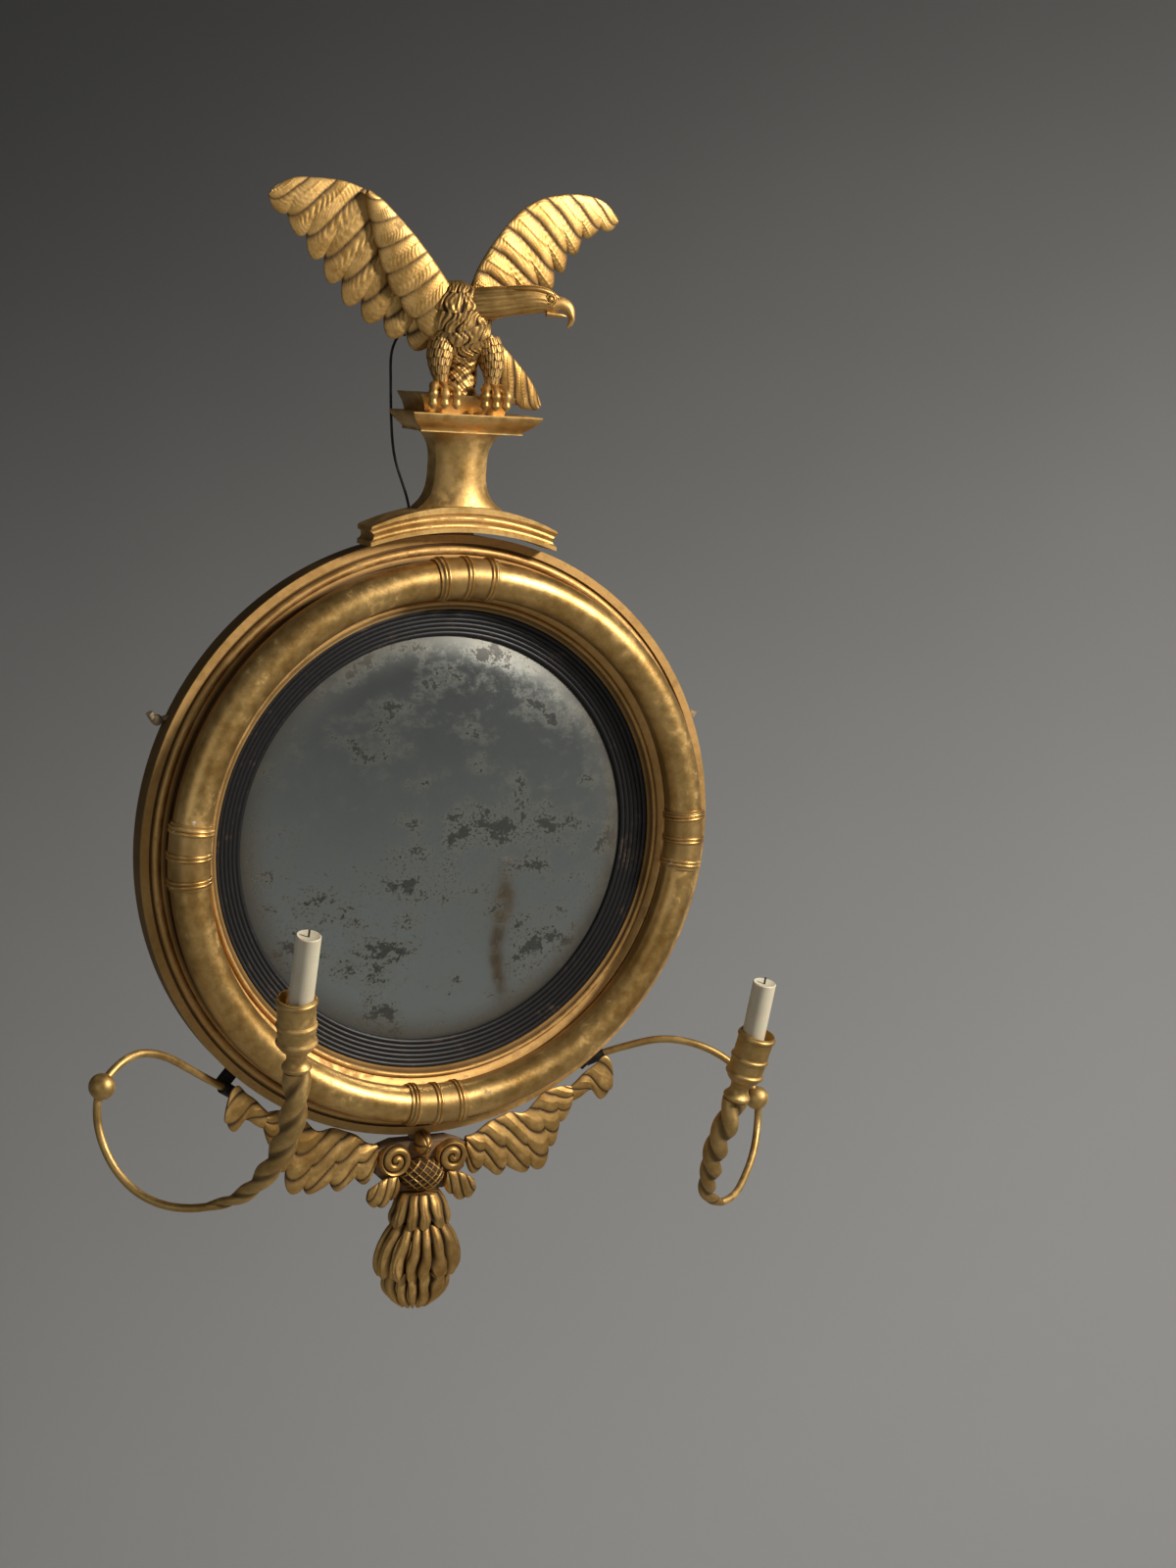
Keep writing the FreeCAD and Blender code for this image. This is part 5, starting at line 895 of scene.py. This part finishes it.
# %% Necking and tassels
HEM_INSET, HEM_LIFT, DROP_TOP = 0.72, 3.0, -358


def skirt(stations, tongues, rag, swell, seed_turn, rows=110, columns=240):
    """Loft whose hem is lifted between tongues, then closed up inside.

    ridge = |cos(n t / 2 + c)|^0.6 is 1 down the middle of a tongue and 0 between two.
    The length of a row is shortened by rag (1 - ridge), and the oval swells with ridge.
    """
    u = np.linspace(0, 1, rows)[:, None]
    turn = np.linspace(0, 2 * math.pi, columns, endpoint=False)[None, :]
    wander = turn + 0.10 * np.sin(3 * turn + seed_turn)
    sway = 0.06 * np.sin(4 * u + 3 * seed_turn + 2 * turn) + 0.03 * np.sin(9 * u + 5 * turn)
    phase = tongues * (wander + sway * u) / 2 + seed_turn
    ridge = np.abs(np.cos(phase)) ** 0.6
    uneven = 0.75 + 0.25 * np.sin(5 * turn + 2 * seed_turn)
    length = 1 - rag * (1 - ridge**1.6) * uneven
    groove = np.exp(-((np.cos(phase) ** 2 - 1) / 0.05) ** 2)
    scale = 1 - swell * (1 - ridge) * np.minimum(1, 0.35 + u) - 0.035 * groove * u
    place = (u * length).ravel()
    line = smooth_line(stations, place).reshape(rows, columns, 5)
    wide, high = line[..., 3] * scale, line[..., 4] * scale
    outer = np.stack((line[..., 0] + wide * np.cos(turn), line[..., 1] - high * np.sin(turn),
                      line[..., 2]), axis=-1)
    hem, middle = outer[-1], line[-1, :, :3]
    inner = np.stack((middle[:, 0] + HEM_INSET * (hem[:, 0] - middle[:, 0]),
                      middle[:, 1] + HEM_INSET * (hem[:, 1] - middle[:, 1]),
                      hem[:, 2] + HEM_LIFT), axis=-1)
    grid = np.concatenate((outer, inner[None]), axis=0)
    marks = np.vstack((np.clip((1 - ridge) * 1.5 + groove * 0.3, 0, 1), np.ones((1, columns))))
    return skin(grid, marks)


def drop_stations(rows):
    """Rows of (y, z, half width, half depth), with z from the top of the drop."""
    return [(0, y, DROP_TOP + z, wide, high) for y, z, wide, high in rows]


def inside(stations):
    """The same stations for a layer of tongues that lies under the first."""
    return [(x, y, z, 0.84 * wide, 0.84 * high) for x, y, z, wide, high in stations]


NECKING = drop_stations([(-29, -0.2, 21, 17), (-31, -8, 27, 20), (-32, -16, 30, 22),
                         (-32, -24, 33, 24), (-32, -34, 31, 23)])
UPPER_SKIRT = drop_stations([(-32, -30, 27, 20), (-32, -44, 38, 26), (-32, -56, 44, 28),
                             (-32, -68, 47, 28), (-32, -80, 46, 27), (-32, -87, 42, 25)])
LOWER_SKIRT = drop_stations([(-31, -80, 33, 21), (-31, -94, 37, 22), (-31, -104, 35, 20),
                             (-31, -114, 26, 16), (-31, -122, 14, 9)])
gilded("ruffled_necking", [skirt(NECKING, 11, 0.30, 0.20, 0.4)], "apron_necking", crease=70)
gilded("upper_skirt", [skirt(UPPER_SKIRT, 15, 0.42, 0.34, 0.9),
                       skirt(inside(UPPER_SKIRT), 13, 0.25, 0.34, 2.1)],
       "apron_upper_tassel", crease=70)
gilded("lower_skirt", [skirt(LOWER_SKIRT, 13, 0.50, 0.34, 0.2),
                       skirt(inside(LOWER_SKIRT), 11, 0.30, 0.34, 1.3)],
       "apron_lower_tassel", crease=70)

# %% [markdown]
# ## The twisted arm ends
# Each arm ends in a tapering rope twist of composition, cast over the iron. The section
# is a rounded cross of two lobes that turns as it climbs, which leaves crisp ridges.

# %% Twists
TWIST_LEFT = [(269.6, -163.5, -300), (247.8, -178.5, -289.1), (233.7, -200, -266.6),
              (225.1, -220.2, -238.5), (221.5, -236.4, -207.9), (221.6, -248.3, -177.2),
              (223.8, -253.5, -148.1)]
TWIST_RIGHT = [(271.6, -163, -351.6), (247.8, -176.8, -337), (233.7, -200, -308),
               (225.1, -220.2, -278), (221.5, -236.4, -252), (221.6, -248.3, -230.6),
               (223.8, -253.5, -211.6)]
ROD_RADIUS, TWIST_RADIUS, TWIST_TURNS = 3.8, 13.6, 3.0


def twist(marks, side):
    """Radius r (1 - f + f |cos a|^1.1) with a turning by 2 pi turns u^0.85 along the curve."""
    marks = np.array(marks, float) * np.array([side, 1, 1])
    rows, columns = 300, 72
    u = np.linspace(0, 1, rows)
    line = smooth_line(marks, u)
    way = unit(np.gradient(line, axis=0))
    level = marks[-1] - marks[0]
    across = unit(np.array([level[1] * -side, level[0] * side, 0.0]))
    over = unit(np.cross(across, way))
    wide = unit(np.cross(way, over))
    swell = np.sin(math.pi / 2 * np.minimum(1, u * 1.25)) ** 0.8
    radius = (ROD_RADIUS + 0.1 + (TWIST_RADIUS - ROD_RADIUS - 0.1) * swell)[:, None] * 0.93
    spin = (2 * math.pi * TWIST_TURNS * u**0.85 * side)[:, None]
    turn = np.linspace(0, 2 * math.pi, columns, endpoint=False)[None, :]
    flat = 0.40 * np.minimum(1, u * 8)[:, None]
    ridge = np.abs(np.cos(turn)) ** 1.1
    reach = radius * (1 - flat * (1 - ridge))
    grid = (line[:, None] + wide[:, None] * (reach * np.cos(turn + spin))[..., None]
            + over[:, None] * (reach * np.sin(turn + spin))[..., None])
    return skin(grid, np.clip((1 - ridge) * 1.3 - 0.2, 0, 1) * np.minimum(1, flat * 4))


for word, marks, side in (("left", TWIST_LEFT, -1), ("right", TWIST_RIGHT, 1)):
    carved("%s_spiral" % word, [twist(marks, side)], ARM_GILT,
           ["%s_twist" % word], crease=80)

# %% [markdown]
# ## The hanging rope
# The rope is out of sight behind the frame, taut over one hook. Three strands are laid
# round each other, so the section has three lobes that turn as the rope runs.

# %% Rope
ROPE_RADIUS, ROPE_DEPTH, ROPE_APEX, ROPE_BEND = 2.5, -6.2, 190.0, 15.0
ROPE_ANGLE, KNOT_GAP = math.radians(24), 4.6
ROPE_STEPS, LAY_LENGTH = 700, 14


def rope_line(count):
    """Even steps along two straight runs joined by a tangent bend over the hook."""
    rim = np.array([RIM_RADIUS * math.cos(ROPE_ANGLE), ROPE_DEPTH,
                    RIM_RADIUS * math.sin(ROPE_ANGLE)])
    fall = math.atan2(ROPE_APEX - rim[2], rim[0])
    tangent = ROPE_BEND * math.tan(fall)
    down = np.array([math.cos(fall), 0, -math.sin(fall)])
    run_start = np.array([0, ROPE_DEPTH, ROPE_APEX]) + down * tangent
    run = np.linalg.norm(rim - run_start) + KNOT_GAP
    bend = ROPE_BEND * fall
    along = np.linspace(-(run + bend), run + bend, count)
    centre = np.array([0, ROPE_DEPTH, ROPE_APEX - ROPE_BEND / math.cos(fall)])
    angle = np.clip(along / ROPE_BEND, -fall, fall)
    on_bend = centre + ROPE_BEND * np.stack((np.sin(angle), 0 * angle, np.cos(angle)), axis=-1)
    past = np.sign(along) * np.maximum(np.abs(along) - bend, 0)
    straight = np.stack((np.abs(past) * down[0] * np.sign(past), 0 * past,
                         np.abs(past) * down[2]), axis=-1)
    return on_bend + straight, 2 * (run + bend)


rope_points, rope_length = rope_line(ROPE_STEPS)
rope_way = unit(np.gradient(rope_points, axis=0))
rope_side = unit(np.cross(rope_way, (0, -1, 0)))
rope_turn = np.linspace(0, 2 * math.pi, 24, endpoint=False)[None, :]
rope_lay = (np.linspace(0, rope_length, ROPE_STEPS) / LAY_LENGTH * 2 * math.pi)[:, None]
lobe = np.abs(np.cos(1.5 * (rope_turn - rope_lay / 1.5)))
rope_reach = ROPE_RADIUS * (0.86 + 0.14 * lobe)
rope_grid = (rope_points[:, None]
             + rope_side[:, None] * (rope_reach * np.cos(rope_turn))[..., None]
             + np.array([0, -1.0, 0]) * (rope_reach * np.sin(rope_turn))[..., None])
rope = carved("rope", [skin(rope_grid, 1 - lobe)], JUTE, ["hanging_rope"], crease=80)
print("rope length %.1f mm" % rope_length)

# %% [markdown]
# ## Finishes for the plain CAD pieces
# The plinth, the rods, the cups and the hidden wood keep the CAD's own shape, so they
# only need a finish.

# %% Finish the plain pieces
FINISHES = {
    PLINTH_GILT: ["plinth_base", "plinth_shaft", "plinth_cap", "eagle_slab"],
    ARM_GILT: ["left_rod", "right_rod", "left_ball", "right_ball", "left_cup", "right_cup"],
    BARE_PINE: ["glass_blocks", "backboard", "plinth_tongue", "apron_tongue", "apron_block"],
    STEEL: ["backboard_screws"],
    IRON: ["stay_wire", "stay_eyes", "arm_ferrules", "cup_spigots"],
    WAX: ["left_candle", "right_candle"],
    BURNT_COTTON: ["left_wick", "right_wick"],
    JUTE: ["rope_knot_left", "rope_knot_right"],
}
for finish, names in FINISHES.items():
    for name in names:
        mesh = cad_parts[name].data
        mesh.materials.clear()
        mesh.materials.append(finish)
print("plain pieces:", sum(len(names) for names in FINISHES.values()))

# %% [markdown]
# ## Studio
# The mirror hangs well in front of a plain grey wall. Its colour is painted lighter to the
# lower right as painted light, in place of the lamp's fall-off. One soft lamp stands high
# on the right, as a window would, and a weak one on the left opens the shadows. The room in
# front is darker above than below, which is what the plate reflects. The pale floor lies
# far below and ends short of what it mirrors.

# %% Wall, lamps and world
WALL_MIDDLE, WALL_TURN, WALL_HALF = (1.32, 2.25, 0.02), math.radians(-27.5), 7.0
WALL_PAINTED_SHADE, WALL_PAINTED_LIGHT = (0.075, 0.075, 0.073, 1), (0.80, 0.80, 0.79, 1)


def wall_painted_light():
    """Painted light: grey that grows lighter along a slant, with share rising by 0.22 x - 0.62 z,
    in place of the lamp's fall-off over the wall.
    """
    paint = Finish("grey wall")
    x, z = (paint.node("ShaderNodeSeparateXYZ", {0: paint.place}, output=n) for n in (0, 2))
    # Painted light and shade: the wall's colour runs from near black to pale grey to stand for how
    # the lamp lights it.
    share = (x * 0.22 - z * 0.62 + paint.noise(0.8, detail=3) * 0.2).between(-1.0, 1.85)
    paint.set(Base_Color=paint.mixed(share, WALL_PAINTED_SHADE, WALL_PAINTED_LIGHT), Roughness=0.95)
    return paint.material


wall_mesh = bpy.data.meshes.new("grey wall")
wall_mesh.from_pydata([(-WALL_HALF, 0, -WALL_HALF), (WALL_HALF, 0, -WALL_HALF),
                       (WALL_HALF, 0, WALL_HALF), (-WALL_HALF, 0, WALL_HALF)], [], [(0, 1, 2, 3)])
wall_mesh.materials.append(wall_painted_light())
wall = bpy.data.objects.new("grey wall", wall_mesh)
wall.location = WALL_MIDDLE
wall.rotation_euler = (0, 0, WALL_TURN)
bpy.context.scene.collection.objects.link(wall)
FLOOR_LEVEL, FLOOR_FRONT = -2.5, -2.4
floor_mesh = bpy.data.meshes.new("pale floor")
floor_mesh.from_pydata([(-9, FLOOR_FRONT, FLOOR_LEVEL), (9, FLOOR_FRONT, FLOOR_LEVEL),
                        (9, 9, FLOOR_LEVEL), (-9, 9, FLOOR_LEVEL)], [], [(0, 1, 2, 3)])
floor_mesh.materials.append(plain("pale floor", (0.62, 0.62, 0.61, 1), (0.58, 0.58, 0.57, 1),
                                  0.9, 0.5))
floor = bpy.data.objects.new("pale floor", floor_mesh)
bpy.context.scene.collection.objects.link(floor)


def lamp(name, place, aim, watts, size, colour=(1, 1, 1)):
    """Square soft lamp that looks from place to aim."""
    light = bpy.data.lights.new(name, "AREA")
    light.energy, light.size, light.color = watts, size, colour
    made = bpy.data.objects.new(name, light)
    way = np.array(aim, float) - np.array(place, float)
    made.rotation_euler = Vector(way).to_track_quat("-Z", "Y").to_euler()
    made.location = place
    bpy.context.scene.collection.objects.link(made)
    return made


window = lamp("window", (1.9, -2.1, 1.6), (0, 0, 0.05), 105, 0.55, (1.0, 0.96, 0.90))
opener = lamp("opener", (-2.6, -2.4, 0.4), (0, 0, 0), 9, 2.2, (0.93, 0.96, 1.0))
ROOM_LOW, ROOM_HIGH = (0.80, 0.82, 0.80, 1), (0.16, 0.165, 0.17, 1)
RISE_START, RISE_END, ROOM_STRENGTH = -0.75, 0.55, 0.27
air = Finish("studio air", bpy.data.worlds.new("studio air"), "Background", "Generated")
rise = air.node("ShaderNodeSeparateXYZ", {0: air.place}, output=2)
air.set(Color=air.mixed(rise.between(RISE_START, RISE_END), ROOM_LOW, ROOM_HIGH),
        Strength=ROOM_STRENGTH)
bpy.context.scene.world = air.material

# %% [markdown]
# ## Camera
# The photographer stood to the left of the mirror, above its middle, and tipped the
# camera slightly. The three directions below were fitted to the frame's circles.

# %% Camera
CAMERA_PLACE = (-0.9740, -2.2077, 0.5012)
CAMERA_RIGHT = np.array([0.8908, -0.4495, 0.0668])
CAMERA_AHEAD = np.array([0.4539, 0.8729, -0.1793])
FOCAL_LENGTH = 57.1
ahead = unit(CAMERA_AHEAD)
right = unit(CAMERA_RIGHT - ahead * (CAMERA_RIGHT @ ahead))
up = np.cross(right, ahead)
lens = bpy.data.cameras.new("photographer")
lens.lens, lens.sensor_width, lens.sensor_fit = FOCAL_LENGTH, 36.0, "AUTO"
lens.clip_start, lens.clip_end = 0.05, 60.0
camera = bpy.data.objects.new("photographer", lens)
turned_to = Matrix(np.stack((right, up, -ahead), axis=1).tolist()).to_4x4()
camera.matrix_world = Matrix.Translation(CAMERA_PLACE) @ turned_to
bpy.context.scene.collection.objects.link(camera)
bpy.context.scene.camera = camera
bpy.context.scene.view_settings.view_transform = "Standard"
